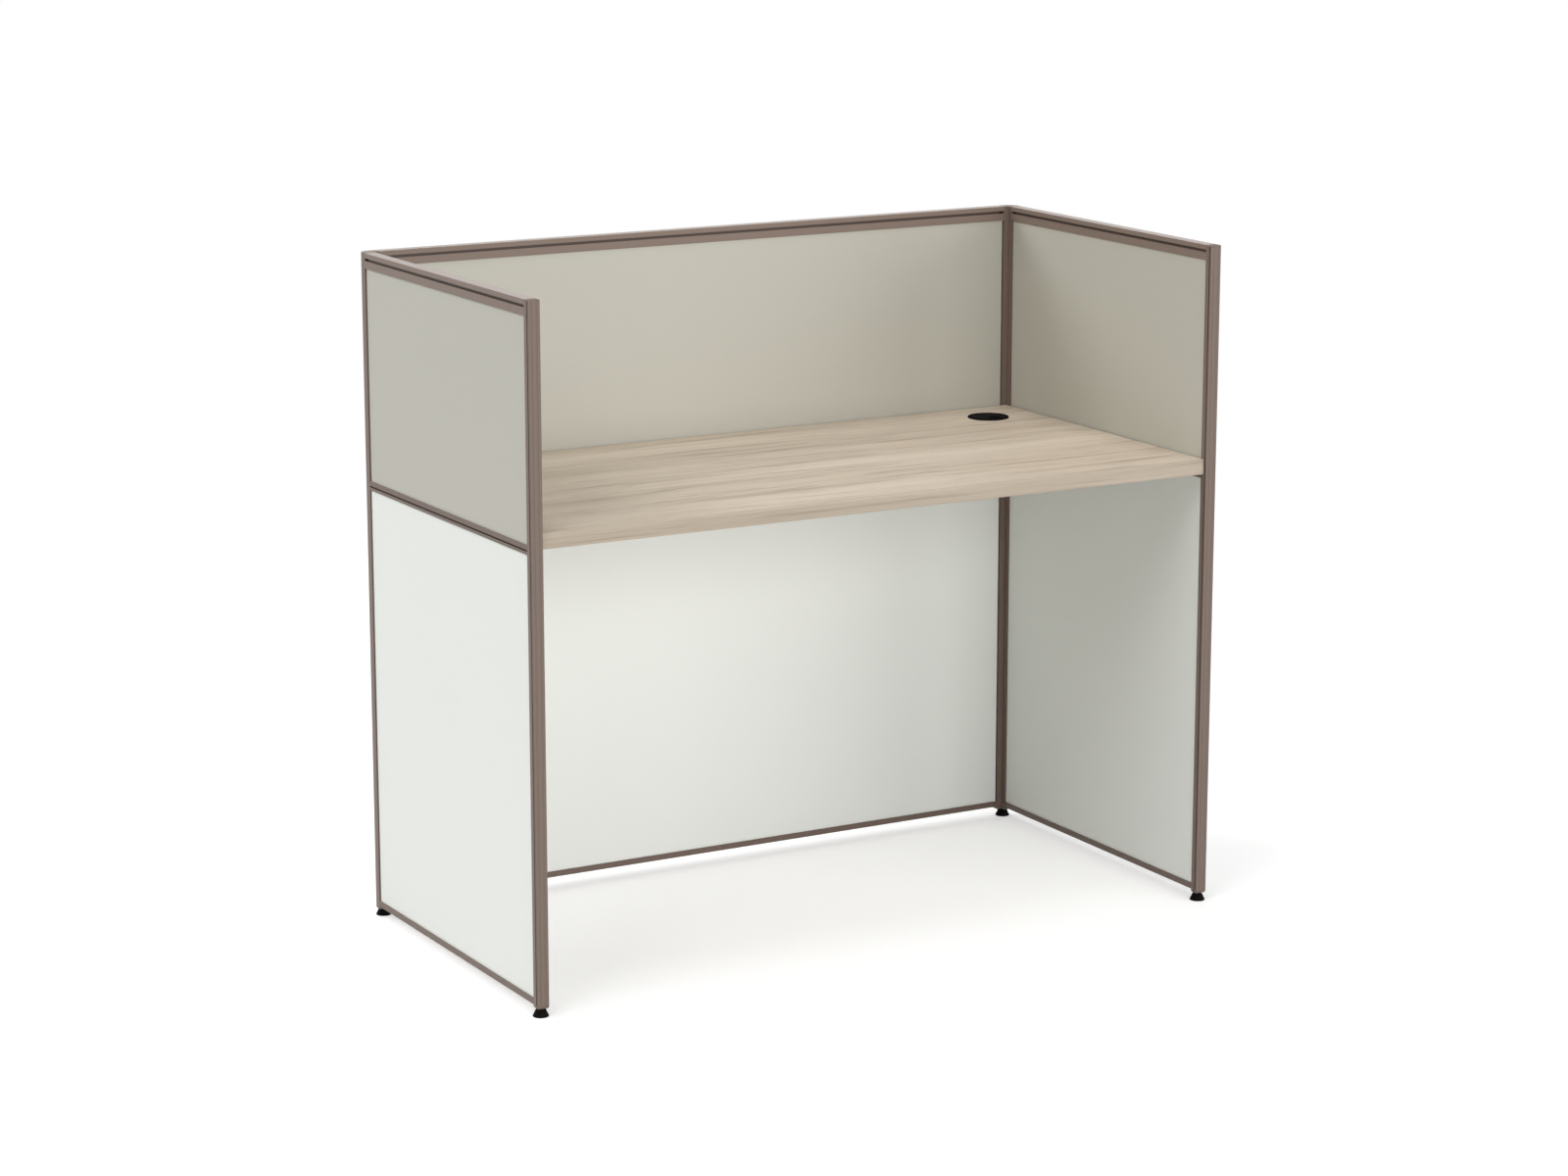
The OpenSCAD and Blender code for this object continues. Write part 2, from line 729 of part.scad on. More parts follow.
// Keys: bars that join the rails to the posts
module key_bar(y0, y1, z, h) {
    translate([-key_w / 2, y0, z + push_fit]) cube([key_w, y1 - y0, h - 2 * push_fit]);
}

module front_key(z, h) {
    difference() {
        key_bar(key_y0, rail_y0 + key_l, z, h);
        translate([0, strip_y, z + h / 2]) rotate([-90, 0, 0])
            cylinder(d = screw_d + 2 * screw_fit, h = post_web + screw_l + over);
    }
}

// Key between a rail's rear end and a corner post's slot
module back_key(z, h) {
    key_bar(rail_y1 - key_l, key_y1, z, h);
}

// The same key with a hole for a countersunk screw
module bored_key(z, h) {
    difference() {
        back_key(z, h);
        translate([0, rail_y1 - csk_inset, z - over])
            cylinder(d = screw_d + 2 * screw_fit, h = h + 2 * over);
    }
}

// Both ends of the rear rails, drawn along Y and turned to lie along X
module rear_ends() {
    for (s = [0, 1]) mirror([s, 0, 0])
        translate([0, wall_y, 0]) rotate([0, 0, -90]) translate([0, rail_x1 - rail_y1, 0]) children();
}

module side_ends() {
    for (s = [0, 1]) mirror([s, 0, 0]) translate([-wall_x, 0, 0]) children();
}

module top_rail_keys() {
    z = top_z + top_chamber_z;
    zinc() {
        side_ends() front_key(z, top_chamber_h);
        side_ends() back_key(z, top_chamber_h);
        rear_ends() back_key(z, top_chamber_h);
    }
}

module middle_rail_keys() {
    z = mid_z + mid_chamber_z;
    zinc() {
        side_ends() front_key(z, mid_chamber_h);
        side_ends() bored_key(z, mid_chamber_h);
        rear_ends() bored_key(z, mid_chamber_h);
    }
}

// The front keys of the bottom rails carry the foot screws
module bottom_rail_keys() {
    z = rail_z + bottom_chamber_z;
    zinc() {
        side_ends() difference() {
            key_bar(key_y0, rail_y0 + key_l, z, bottom_chamber_h);
            translate([0, foot_y, 0]) stem_hole(z, bottom_chamber_h);
        }
        side_ends() bored_key(z, bottom_chamber_h);
        rear_ends() bored_key(z, bottom_chamber_h);
    }
}

module corner_foot_inserts() {
    zinc() for (s = [-1, 1]) translate([s * rear_foot_x, rear_foot_y, 0]) difference() {
        translate([0, 0, rail_z]) cylinder(d = corner_bore_d - 2 * push_fit, h = shoe_prong_l);
        stem_hole(rail_z, shoe_prong_l);
    }
}

// Screws. A cap screw lies along +Y with the underside of its head at the origin.
module cap_screw() {
    rotate([-90, 0, 0]) difference() {
        union() {
            translate([0, 0, -head_h]) cylinder(d = head_d, h = head_h);
            cylinder(d = screw_d, h = post_web + screw_l);
        }
        translate([0, 0, -head_h - over])
            cylinder(d = socket_af * hex_ratio, h = socket_depth + over, $fn = 6);
    }
}

// Distance across the corners of a hexagon, as a share of that across its flats
hex_ratio = 2 / sqrt(3);

module front_key_screws() {
    black() side_ends() for (z = key_screw_zs) translate([0, strip_y, z]) cap_screw();
}

// A countersunk screw, its head face at the origin, going down
module csk_screw() {
    difference() {
        union() {
            translate([0, 0, -rail_wall]) cylinder(d1 = screw_d, d2 = csk_d, h = rail_wall);
            translate([0, 0, -rail_wall - csk_l]) cylinder(d = screw_d, h = csk_l + over);
        }
        translate([0, 0, -socket_depth])
            cylinder(d = socket_af * hex_ratio, h = socket_depth + over, $fn = 6);
    }
}

module corner_key_screws() {
    zinc() {
        side_ends() translate([0, rail_y1 - csk_inset, mid_csk_z]) csk_screw();
        rear_ends() translate([0, rail_y1 - csk_inset, mid_csk_z]) csk_screw();
        side_ends() translate([0, rail_y1 - csk_inset, rail_z]) mirror([0, 0, 1]) csk_screw();
        rear_ends() translate([0, rail_y1 - csk_inset, rail_z]) mirror([0, 0, 1]) csk_screw();
    }
}

// Two grub screws press on a key, one from each face of the rail
module grub_pair() {
    for (s = [0, 1]) mirror([s, 0, 0])
        translate([key_w / 2, rail_y1 - grub_inset, grub_z]) rotate([0, 90, 0]) difference() {
            cylinder(d = screw_d, h = grub_l);
            translate([0, 0, grub_l - socket_depth])
                cylinder(d = socket_af * hex_ratio, h = socket_depth + over, $fn = 6);
        }
}

module groove_grub_screws() {
    black() {
        side_ends() grub_pair();
        rear_ends() grub_pair();
    }
}

// Desktop and its supports
module spread(l, n) {
    span = l - 2 * desk_screw_end;
    for (i = [0 : n - 1]) translate([-span / 2 + i * span / (n - 1), 0, 0]) children();
}

side_screw_n = 4;
back_screw_n = 6;

// Places of the desktop's screws, along each side and along the back
module at_desk_screws() {
    for (s = [-1, 1]) translate([s * (half_in - desk_screw_in), 0, desk_under])
        rotate([0, 0, 90]) spread(side_angle_l, side_screw_n) children();
    translate([0, back_in - desk_screw_in, desk_under]) spread(back_angle_l, back_screw_n) children();
}

module desktop() {
    oak() difference() {
        translate([-desk_x, desk_y0 + edge_band_t, desk_under])
            cube([2 * desk_x, desk_y1 - desk_y0 - edge_band_t, desk_t]);
        translate([port_x, port_y, desk_under - over]) cylinder(d = port_hole_d, h = desk_t + 2 * over);
        at_desk_screws() translate([0, 0, -over])
            cylinder(d = screw_d + 2 * screw_fit, h = desk_screw_l + over + screw_fit);
    }
}

module desktop_edge_band() {
    oak() translate([0, desk_y0, desk_under]) along_x(-desk_x, desk_x) {
        translate([edge_band_r, 0]) square([edge_band_t - edge_band_r, desk_t]);
        translate([0, edge_band_r]) square([edge_band_t, desk_t - 2 * edge_band_r]);
        for (z = [edge_band_r, desk_t - edge_band_r]) translate([edge_band_r, z]) circle(r = edge_band_r);
    }
}

// Profile of a desk angle, from the screen's face at x = 0 and the desktop's underside
module angle_shape() {
    translate([-mid_groove_depth + angle_fit, -angle_t])
        square([mid_groove_depth - angle_fit + angle_w, angle_t]);
    translate([angle_fit, -angle_h]) square([angle_t, angle_h]);
}

module angle_holes() {
    at_desk_screws() translate([0, 0, -angle_t - over])
        cylinder(d = screw_d + 2 * screw_fit, h = angle_t + 2 * over);
}

module side_angle() {
    difference() {
        translate([-half_in, 0, desk_under]) along_y(-side_angle_l / 2, side_angle_l / 2) angle_shape();
        angle_holes();
    }
}

module left_desk_angle() { black() side_angle(); }
module right_desk_angle() { black() mirror([1, 0, 0]) side_angle(); }

module back_desk_angle() {
    black() difference() {
        translate([0, back_in, desk_under]) along_x(-back_angle_l / 2, back_angle_l / 2)
            mirror([1, 0]) angle_shape();
        angle_holes();
    }
}

module desk_screws() {
    zinc() at_desk_screws() difference() {
        union() {
            translate([0, 0, -angle_t - desk_head_h]) cylinder(d = desk_head_d, h = desk_head_h);
            translate([0, 0, -angle_t]) cylinder(d = screw_d, h = angle_t + desk_screw_l);
        }
        translate([0, 0, -angle_t - desk_head_h - over])
            cylinder(d = socket_af * hex_ratio, h = socket_depth + over, $fn = 6);
    }
}

// Cable port
module port_liner() {
    black() translate([port_x, port_y, 0]) difference() {
        union() {
            translate([0, 0, liner_z]) cylinder(d = port_hole_d - 2 * port_fit, h = desk_height - liner_z);
            translate([0, 0, desk_height]) cylinder(d = flange_d, h = flange_h);
        }
        translate([0, 0, liner_z - over]) cylinder(d = liner_bore_d, h = lid_top - liner_z + 2 * over);
        translate([0, 0, pocket_z]) cylinder(d = pocket_d, h = lid_top - pocket_z + over);
        translate([0, 0, lid_z]) cylinder(d = lid_d + 2 * lid_fit, h = lid_t + over);
    }
}

// A notch from its round inner end out past the rim, towards -Y
module notch(z, h) {
    translate([0, -notch_inner - notch_w / 2, z]) cylinder(d = notch_w, h = h);
    translate([-notch_w / 2, -flange_d, z]) cube([notch_w, flange_d - notch_inner - notch_w / 2, h]);
}

module port_lid() {
    black() translate([port_x, port_y, 0]) difference() {
        translate([0, 0, lid_z]) cylinder(d = lid_d, h = lid_t);
        translate([0, 0, lid_z - over]) cylinder(d = gate_pin_d + 2 * thread_fit, h = lid_t + 2 * over);
        notch(lid_z - over, lid_t + 2 * over);
    }
}

// The gate's own notch lies a quarter turn from the lid's when the port is closed
module port_gate() {
    black() translate([port_x, port_y, 0]) {
        difference() {
            translate([0, 0, gate_z]) cylinder(d = gate_d, h = gate_t);
            rotate([0, 0, -90]) notch(gate_z - over, gate_t + 2 * over);
        }
        translate([0, 0, gate_z]) cylinder(d = gate_pin_d, h = lid_top - gate_z);
    }
}

// Feet: a screw with a hexagon and a round end, and the pad that holds the round end
module foot_screw() {
    zinc() {
        translate([0, 0, journal_z]) cylinder(d = journal_d, h = journal_h);
        translate([0, 0, journal_z]) cylinder(d = stem_d, h = stem_top - journal_z);
        translate([0, 0, hex_z]) cylinder(d = hex_af * hex_ratio, h = hex_h, $fn = 6);
    }
}

module foot_pad() {
    journal_r = journal_d / 2 + thread_fit;
    stem_r = stem_d / 2 + thread_fit;
    journal_top = journal_z + journal_h + foot_gap;
    black() rotate_extrude() polygon([
        [0, 0], [pad_d / 2 - pad_chamfer, 0], [pad_d / 2, pad_chamfer], [pad_d / 2, pad_rim_h],
        [pad_top_d / 2, pad_h], [stem_r, pad_h], [stem_r, journal_top],
        [journal_r, journal_top], [journal_r, pad_floor], [0, pad_floor]]);
}

module front_left_foot_screw() { translate([-wall_x, foot_y, 0]) foot_screw(); }
module front_left_foot_pad() { translate([-wall_x, foot_y, 0]) foot_pad(); }
module front_right_foot_screw() { translate([wall_x, foot_y, 0]) foot_screw(); }
module front_right_foot_pad() { translate([wall_x, foot_y, 0]) foot_pad(); }
module back_left_foot_screw() { translate([-rear_foot_x, rear_foot_y, 0]) foot_screw(); }
module back_left_foot_pad() { translate([-rear_foot_x, rear_foot_y, 0]) foot_pad(); }
module back_right_foot_screw() { translate([rear_foot_x, rear_foot_y, 0]) foot_screw(); }
module back_right_foot_pad() { translate([rear_foot_x, rear_foot_y, 0]) foot_pad(); }

left_front_post();
left_front_cover();
left_front_cap();
left_front_shoe();
right_front_post();
right_front_cover();
right_front_cap();
right_front_shoe();
left_corner_post();
left_corner_cap();
left_corner_shoe();
right_corner_post();
right_corner_cap();
right_corner_shoe();
left_side_joint_strip();
left_back_joint_strip();
right_side_joint_strip();
right_back_joint_strip();
left_top_rail();
left_middle_rail();
left_bottom_rail();
right_top_rail();
right_middle_rail();
right_bottom_rail();
back_top_rail();
back_middle_rail();
back_bottom_rail();
left_upper_panel();
left_lower_panel();
right_upper_panel();
right_lower_panel();
back_upper_panel();
back_lower_panel();
top_rail_keys();
middle_rail_keys();
bottom_rail_keys();
corner_foot_inserts();
front_key_screws();
corner_key_screws();
groove_grub_screws();
desktop();
desktop_edge_band();
left_desk_angle();
right_desk_angle();
back_desk_angle();
desk_screws();
port_liner();
port_lid();
port_gate();
front_left_foot_screw();
front_left_foot_pad();
front_right_foot_screw();
front_right_foot_pad();
back_left_foot_screw();
back_left_foot_pad();
back_right_foot_screw();
back_right_foot_pad();
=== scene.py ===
"""Visual model of a screened single-seat workstation.

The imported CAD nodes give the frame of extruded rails, the posts and the boards. This
script dresses them, and models by hand what a profile and a plain solid can't show: the
oak desktop and its edge band, the moulded caps and shoes, the fluted covers, the cable
port, the levelling feet with their threads, and the desk's supports.
All lengths are in metres, in the frame of the CAD.
"""
from __future__ import annotations

import json
import logging
import math
from contextlib import contextmanager
from dataclasses import dataclass, field
from enum import Enum
from typing import Callable, Iterator, Mapping, Sequence

import bmesh
import bpy
from mathutils import Matrix, Vector

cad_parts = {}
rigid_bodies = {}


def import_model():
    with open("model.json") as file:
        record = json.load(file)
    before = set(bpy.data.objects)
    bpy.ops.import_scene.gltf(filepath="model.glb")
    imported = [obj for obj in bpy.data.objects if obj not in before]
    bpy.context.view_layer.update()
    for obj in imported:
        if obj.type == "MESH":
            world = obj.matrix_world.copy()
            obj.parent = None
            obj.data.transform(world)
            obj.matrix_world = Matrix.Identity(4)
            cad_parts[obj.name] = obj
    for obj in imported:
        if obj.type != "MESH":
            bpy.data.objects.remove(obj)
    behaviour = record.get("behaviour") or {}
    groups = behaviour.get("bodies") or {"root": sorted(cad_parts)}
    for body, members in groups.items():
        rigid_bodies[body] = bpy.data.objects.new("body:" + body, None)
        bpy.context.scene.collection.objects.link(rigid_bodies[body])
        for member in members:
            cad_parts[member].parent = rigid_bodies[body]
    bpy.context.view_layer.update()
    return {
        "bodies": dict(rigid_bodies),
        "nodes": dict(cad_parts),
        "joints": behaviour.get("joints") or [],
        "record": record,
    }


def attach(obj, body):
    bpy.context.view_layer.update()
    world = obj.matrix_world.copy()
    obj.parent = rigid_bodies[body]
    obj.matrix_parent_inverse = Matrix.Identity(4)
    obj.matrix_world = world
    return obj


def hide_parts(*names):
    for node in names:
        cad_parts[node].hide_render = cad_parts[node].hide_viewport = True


log = logging.getLogger("workstation")

MM = 0.001
MERGE = 2e-6  # points closer than this are one
ALONG = 0.9  # from this share of a unit vector on, it runs along the axis
CUT = (0.12, 0.62)  # a softened corner's two middle points, as shares of its size
MIRROR = Matrix.Scale(-1, 4, (1, 0, 0))
Point = tuple[float, float]
Triple = tuple[float, float, float]
Test = Callable[[Vector, Vector], bool]


# Names


class Slot(Enum):
    """The record's material slots."""

    FRAME = "frame_taupe"
    CAP = "cap_taupe"
    UPPER_BOARD = "board_grey"
    LOWER_BOARD = "board_white"
    DESK = "oak_laminate"
    EDGE = "oak_edging"
    STRIP = "joint_strip"
    ANGLE = "black_steel"
    ZINC = "zinc_steel"
    BLACK_SCREW = "black_screw"
    BLACK_PLASTIC = "black_plastic"


class Body(Enum):
    """The CAD bodies that carry the pieces; each foot has two more of its own."""

    FRAME = "workstation"
    LID = "port_lid"
    GATE = "port_gate"


class Corner(Enum):
    """The four feet, by their place, as signs along X and Y."""

    FRONT_LEFT = (-1, -1)
    FRONT_RIGHT = (1, -1)
    BACK_LEFT = (-1, 1)
    BACK_RIGHT = (1, 1)

    @property
    def label(self) -> str:
        """The foot's name in the CAD."""
        return self.name.lower()


class Pick(Enum):
    """What is selected in edit mode."""

    VERT = "VERT"
    EDGE = "EDGE"
    FACE = "FACE"


# Shaders


def linear(red: int, green: int, blue: int) -> Triple:
    """Turns a colour as a screen shows it, 0 to 255, into the shader's linear values.

    Args:
        red: Red, 0 to 255.
        green: Green, 0 to 255.
        blue: Blue, 0 to 255.

    Returns:
        The three linear values, 0 to 1.
    """

    def one(byte: int) -> float:
        """One channel."""
        share = byte / 255
        return share / 12.92 if share <= 0.04045 else ((share + 0.055) / 1.055) ** 2.4

    return one(red), one(green), one(blue)


class Value:
    """A shader socket that adds, subtracts and multiplies as a number does."""

    def __init__(self, sheet: "Sheet", socket: bpy.types.NodeSocket) -> None:
        """Wraps one output socket of a sheet's node."""
        self.sheet = sheet
        self.socket = socket

    def _math(self, operation: str, *terms: object) -> "Value":
        """A Math node with these terms."""
        node = self.sheet.add("ShaderNodeMath", {"operation": operation}, dict(enumerate(terms)))
        return Value(self.sheet, node.outputs[0])

    def __add__(self, other: object) -> "Value":
        """The sum."""
        return self._math("ADD", self, other)

    def __radd__(self, other: object) -> "Value":
        """The sum, with the number first."""
        return self._math("ADD", other, self)

    def __sub__(self, other: object) -> "Value":
        """The difference."""
        return self._math("SUBTRACT", self, other)

    def __rsub__(self, other: object) -> "Value":
        """The difference, with the number first."""
        return self._math("SUBTRACT", other, self)

    def __mul__(self, other: object) -> "Value":
        """The product."""
        return self._math("MULTIPLY", self, other)

    def absolute(self) -> "Value":
        """The value without its sign."""
        return self._math("ABSOLUTE", self)

    def least(self, other: object) -> "Value":
        """The smaller of two values."""
        return self._math("MINIMUM", self, other)

    def above(self, level: float) -> "Value":
        """1 where the value is above a level, else 0."""
        return self._math("GREATER_THAN", self, level)

    def clamped(self) -> "Value":
        """The value kept between 0 and 1."""
        node = self.sheet.add("ShaderNodeClamp", {}, {"Value": self})
        return Value(self.sheet, node.outputs[0])

    def between(self, low: float, high: float) -> "Value":
        """A smooth step from 0 at low to 1 at high.

        Args:
            low: Where the step begins.
            high: Where it ends.

        Returns:
            The stepped value.
        """
        node = self.sheet.add(
            "ShaderNodeMapRange",
            {"interpolation_type": "SMOOTHSTEP"},
            {"Value": self, "From Min": low, "From Max": high},
        )
        return Value(self.sheet, node.outputs[0])


class Sheet:
    """The node tree of a material or of the world, empty at first."""

    def __init__(self, owner: bpy.types.Material | bpy.types.World) -> None:
        """Clears the tree of a material or of the world.

        Args:
            owner: What the tree belongs to.
        """
        owner.use_nodes = True
        self.tree = owner.node_tree
        self.tree.nodes.clear()

    def add(
        self,
        kind: str,
        settings: Mapping[str, object] | None = None,
        sockets: Mapping[object, object] | None = None,
    ) -> bpy.types.Node:
        """Adds a node.

        Args:
            kind: The node's type.
            settings: Its settings, which are set first.
            sockets: The values or links of its inputs, by name or number.

        Returns:
            The node.
        """
        node = self.tree.nodes.new(kind)
        for name, value in (settings or {}).items():
            setattr(node, name, value)
        for name, value in (sockets or {}).items():
            self.feed(node.inputs[name], value)
        return node

    def feed(self, target: bpy.types.NodeSocket, value: object) -> None:
        """Links an input to a value or a socket, or sets it to a number or a tuple.

        Args:
            target: The input.
            value: A wrapped value, an output socket, a number or a tuple.
        """
        if isinstance(value, Value):
            self.tree.links.new(value.socket, target)
        elif isinstance(value, bpy.types.NodeSocket):
            self.tree.links.new(value, target)
        else:
            target.default_value = value

    def split(self, place: object) -> tuple[Value, Value, Value]:
        """The three parts of a vector.

        Args:
            place: A vector's socket.

        Returns:
            Its three parts.
        """
        node = self.add("ShaderNodeSeparateXYZ", {}, {0: place})
        x, y, z = (Value(self, out) for out in node.outputs)
        return x, y, z

    def blend(self, share: Value, low: bpy.types.Node, high: bpy.types.Node) -> object:
        """A shader that runs from low to high as the share rises.

        Args:
            share: The share of high, 0 to 1.
            low: A shader's node.
            high: A shader's node.

        Returns:
            The mixed shader's socket.
        """
        node = self.add(
            "ShaderNodeMixShader", {}, {0: share, 1: low.outputs[0], 2: high.outputs[0]}
        )
        return node.outputs[0]

    def white(self, kind: str, strength: object) -> bpy.types.Node:
        """A white background or a white glow."""
        return self.add(kind, {}, {"Color": (1.0, 1.0, 1.0, 1.0), "Strength": strength})

    def seen(self) -> Value:
        """1 for the rays that should meet white surroundings, else 0.

        Returns:
            1 for camera, glossy and clear rays, else 0.
        """
        path = self.add("ShaderNodeLightPath").outputs
        names = ("Is Camera Ray", "Is Glossy Ray", "Is Transmission Ray")
        camera, glossy, clear = (Value(self, path[name]) for name in names)
        return (camera + glossy + clear).clamped()


class ShaderSheet(Sheet):
    """A finish's node tree, with one Principled shader at its end."""

    def __init__(self, name: str) -> None:
        """Starts an empty material of this name.

        Args:
            name: The material's name.
        """
        self.material = bpy.data.materials.new(name)
        super().__init__(self.material)
        self.shader = self.add("ShaderNodeBsdfPrincipled")
        self.add("ShaderNodeOutputMaterial", {}, {"Surface": self.shader.outputs[0]})
        self.place = self.add("ShaderNodeTexCoord").outputs["Object"]

    def scaled(self, scale: Sequence[float], place: object = None) -> object:
        """The place, or other coordinates, stretched by a factor along each axis.

        Args:
            scale: The factor along X, Y and Z.
            place: The coordinates, or None for the object's own.

        Returns:
            The stretched coordinates' socket.
        """
        node = self.add(
            "ShaderNodeMapping",
            {},
            {"Vector": place or self.place, "Scale": tuple(scale)},
        )
        return node.outputs[0]

    def noise(
        self, place: object, scale: float, detail: float = 2.0, roughness: float = 0.5
    ) -> Value:
        """A noise from about 0 to 1.

        Args:
            place: The coordinates.
            scale: How many cells to a unit.
            detail: How many octaves.
            roughness: The weight of the finer octaves.

        Returns:
            The noise's value.
        """
        node = self.add(
            "ShaderNodeTexNoise",
            {},
            {"Vector": place, "Scale": scale, "Detail": detail, "Roughness": roughness},
        )
        return Value(self, node.outputs[0])

    def tinted(self, colour: object, tone: Value) -> object:
        """A linear colour or a socket, multiplied by a tone."""
        node = self.add("ShaderNodeVectorMath", {"operation": "SCALE"}, {0: colour, "Scale": tone})
        return node.outputs[0]

    def mixed(self, mask: Value, low: object, high: object) -> object:
        """A colour that runs from low to high as the mask rises.

        Args:
            mask: The share of high, 0 to 1.
            low: A linear colour or a socket.
            high: A linear colour or a socket.

        Returns:
            The mixed colour's socket.
        """
        ends = [(*c, 1.0) if isinstance(c, tuple) else c for c in (low, high)]
        node = self.add("ShaderNodeMix", {"data_type": "RGBA"}, {0: mask, 6: ends[0], 7: ends[1]})
        return node.outputs[2]

    def surface(self, colour: object, roughness: object, **fixed: float) -> None:
        """Feeds the shader's colour and roughness, and sets its constants.

        Args:
            colour: A linear colour or a socket.
            roughness: A value or a number.
            **fixed: Other inputs, with underscores for the blanks in their names.
        """
        if isinstance(colour, tuple):
            colour = (*colour, 1.0)
        self.feed(self.shader.inputs["Base Color"], colour)
        self.feed(self.shader.inputs["Roughness"], roughness)
        for name, value in fixed.items():
            self.feed(self.shader.inputs[name.replace("_", " ")], value)

    def relief(self, height: Value, depth: float, strength: float = 1.0) -> None:
        """Gives the surface a fine relief.

        Args:
            height: The relief's height, 0 to 1.
            depth: Its depth in metres.
            strength: How much of it the light shows.
        """
        bump = self.add(
            "ShaderNodeBump",
            {},
            {"Height": height, "Distance": depth, "Strength": strength},
        )
        self.feed(self.shader.inputs["Normal"], bump.outputs[0])


# Finishes


@dataclass(frozen=True)
class Finish:
    """What one material looks like."""

    name: str

    def build(self) -> bpy.types.Material:
        """Makes the material.

        Returns:
            The material.
        """
        sheet = ShaderSheet(self.name)
        self.draw(sheet)
        return sheet.material

    def draw(self, sheet: ShaderSheet) -> None:
        """Draws the finish on an empty sheet."""
        raise NotImplementedError


@dataclass(frozen=True)
class Grained(Finish):
    """An even colour under slow clouds, with a fine grain that the light shows.

    Grain and clouds are noises, given by their cells to a unit and their octaves. Each
    changes the colour by its tone and the roughness by its rough.
    """

    colour: Triple
    roughness: float
    grain: float = 1.0
    stretch: Triple = (1.0, 1.0, 1.0)
    octaves: float = 2.0
    weight: float = 0.5
    grain_tone: float = 0.0
    grain_rough: float = 0.1
    cloud: float = 9.0
    cloud_octaves: float = 3.0
    cloud_tone: float = 0.0
    cloud_rough: float = 0.0
    depth: float = 0.04 * MM
    strength: float = 0.4
    gloss: float = 0.5
    metallic: float = 0.0

    def draw(self, sheet: ShaderSheet) -> None:
        """Draws the finish in its own colour."""
        self.coat(sheet, self.colour)

    def coat(self, sheet: ShaderSheet, colour: object) -> None:
        """Draws the finish in any colour.

        Args:
            sheet: The material's empty sheet.
            colour: A linear colour or a socket.
        """
        place = sheet.scaled(self.stretch)
        grain = sheet.noise(place, self.grain, self.octaves, self.weight) - 0.5
        cloud = sheet.noise(sheet.place, self.cloud, self.cloud_octaves) - 0.5
        sheet.surface(
            sheet.tinted(colour, 1.0 + cloud * self.cloud_tone + grain * self.grain_tone),
            self.roughness + grain * self.grain_rough + cloud * self.cloud_rough,
            Specular_IOR_Level=self.gloss,
            Metallic=self.metallic,
        )
        sheet.relief(grain + 0.5, self.depth, self.strength)


@dataclass(frozen=True)
class PowderCoat(Grained):
    """Satin powder coat: a faint orange peel."""

    roughness: float = 0.42
    grain: float = 900.0
    octaves: float = 1.0
    cloud_tone: float = 0.05
    depth: float = 0.03 * MM
    strength: float = 0.35
    gloss: float = 0.25


@dataclass(frozen=True)
class GroovedCoat(PowderCoat):
    """Powder coat on the rails, with shade painted dark brown at the bottom of their grooves."""

    half_x: float = 610 * MM
    wall_y: float = 300 * MM
    half_thickness: float = 10 * MM
    lip: float = 0.4 * MM
    bands: tuple[Point, ...] = ((1087.0 * MM, 1093.2 * MM), (722.3 * MM, 725.1 * MM))
    # the colour of the painted shade at the bottom of the grooves
    groove: Triple = linear(78, 64, 56)

    def draw(self, sheet: ShaderSheet) -> None:
        """Draws the finish on an empty sheet.

        Args:
            sheet: The material's empty sheet.
        """
        x, y, z = sheet.split(sheet.place)
        # The painted shade's mask: surfaces set back from the rail's faces, within a groove's height
        # band.
        side = (x.absolute() - self.half_x).absolute()
        back = (y - self.wall_y).absolute()
        near = side.least(back)
        inside = 1.0 - near.between(
            self.half_thickness - 2 * self.lip, self.half_thickness - self.lip
        )
        band = sum((z.above(low) - z.above(high) for low, high in self.bands), start=0.0)
        self.coat(sheet, sheet.mixed(inside * band, self.colour, self.groove))


@dataclass(frozen=True)
class BoardLaminate(Grained):
    """Smooth laminate on a board, with a pearl texture that only shows up close."""

    roughness: float = 0.46
    grain: float = 1400.0
    weight: float = 0.6
    grain_tone: float = 0.02
    grain_rough: float = 0.12
    cloud: float = 3.5
    cloud_tone: float = 0.02
    depth: float = 0.02 * MM
    strength: float = 0.3


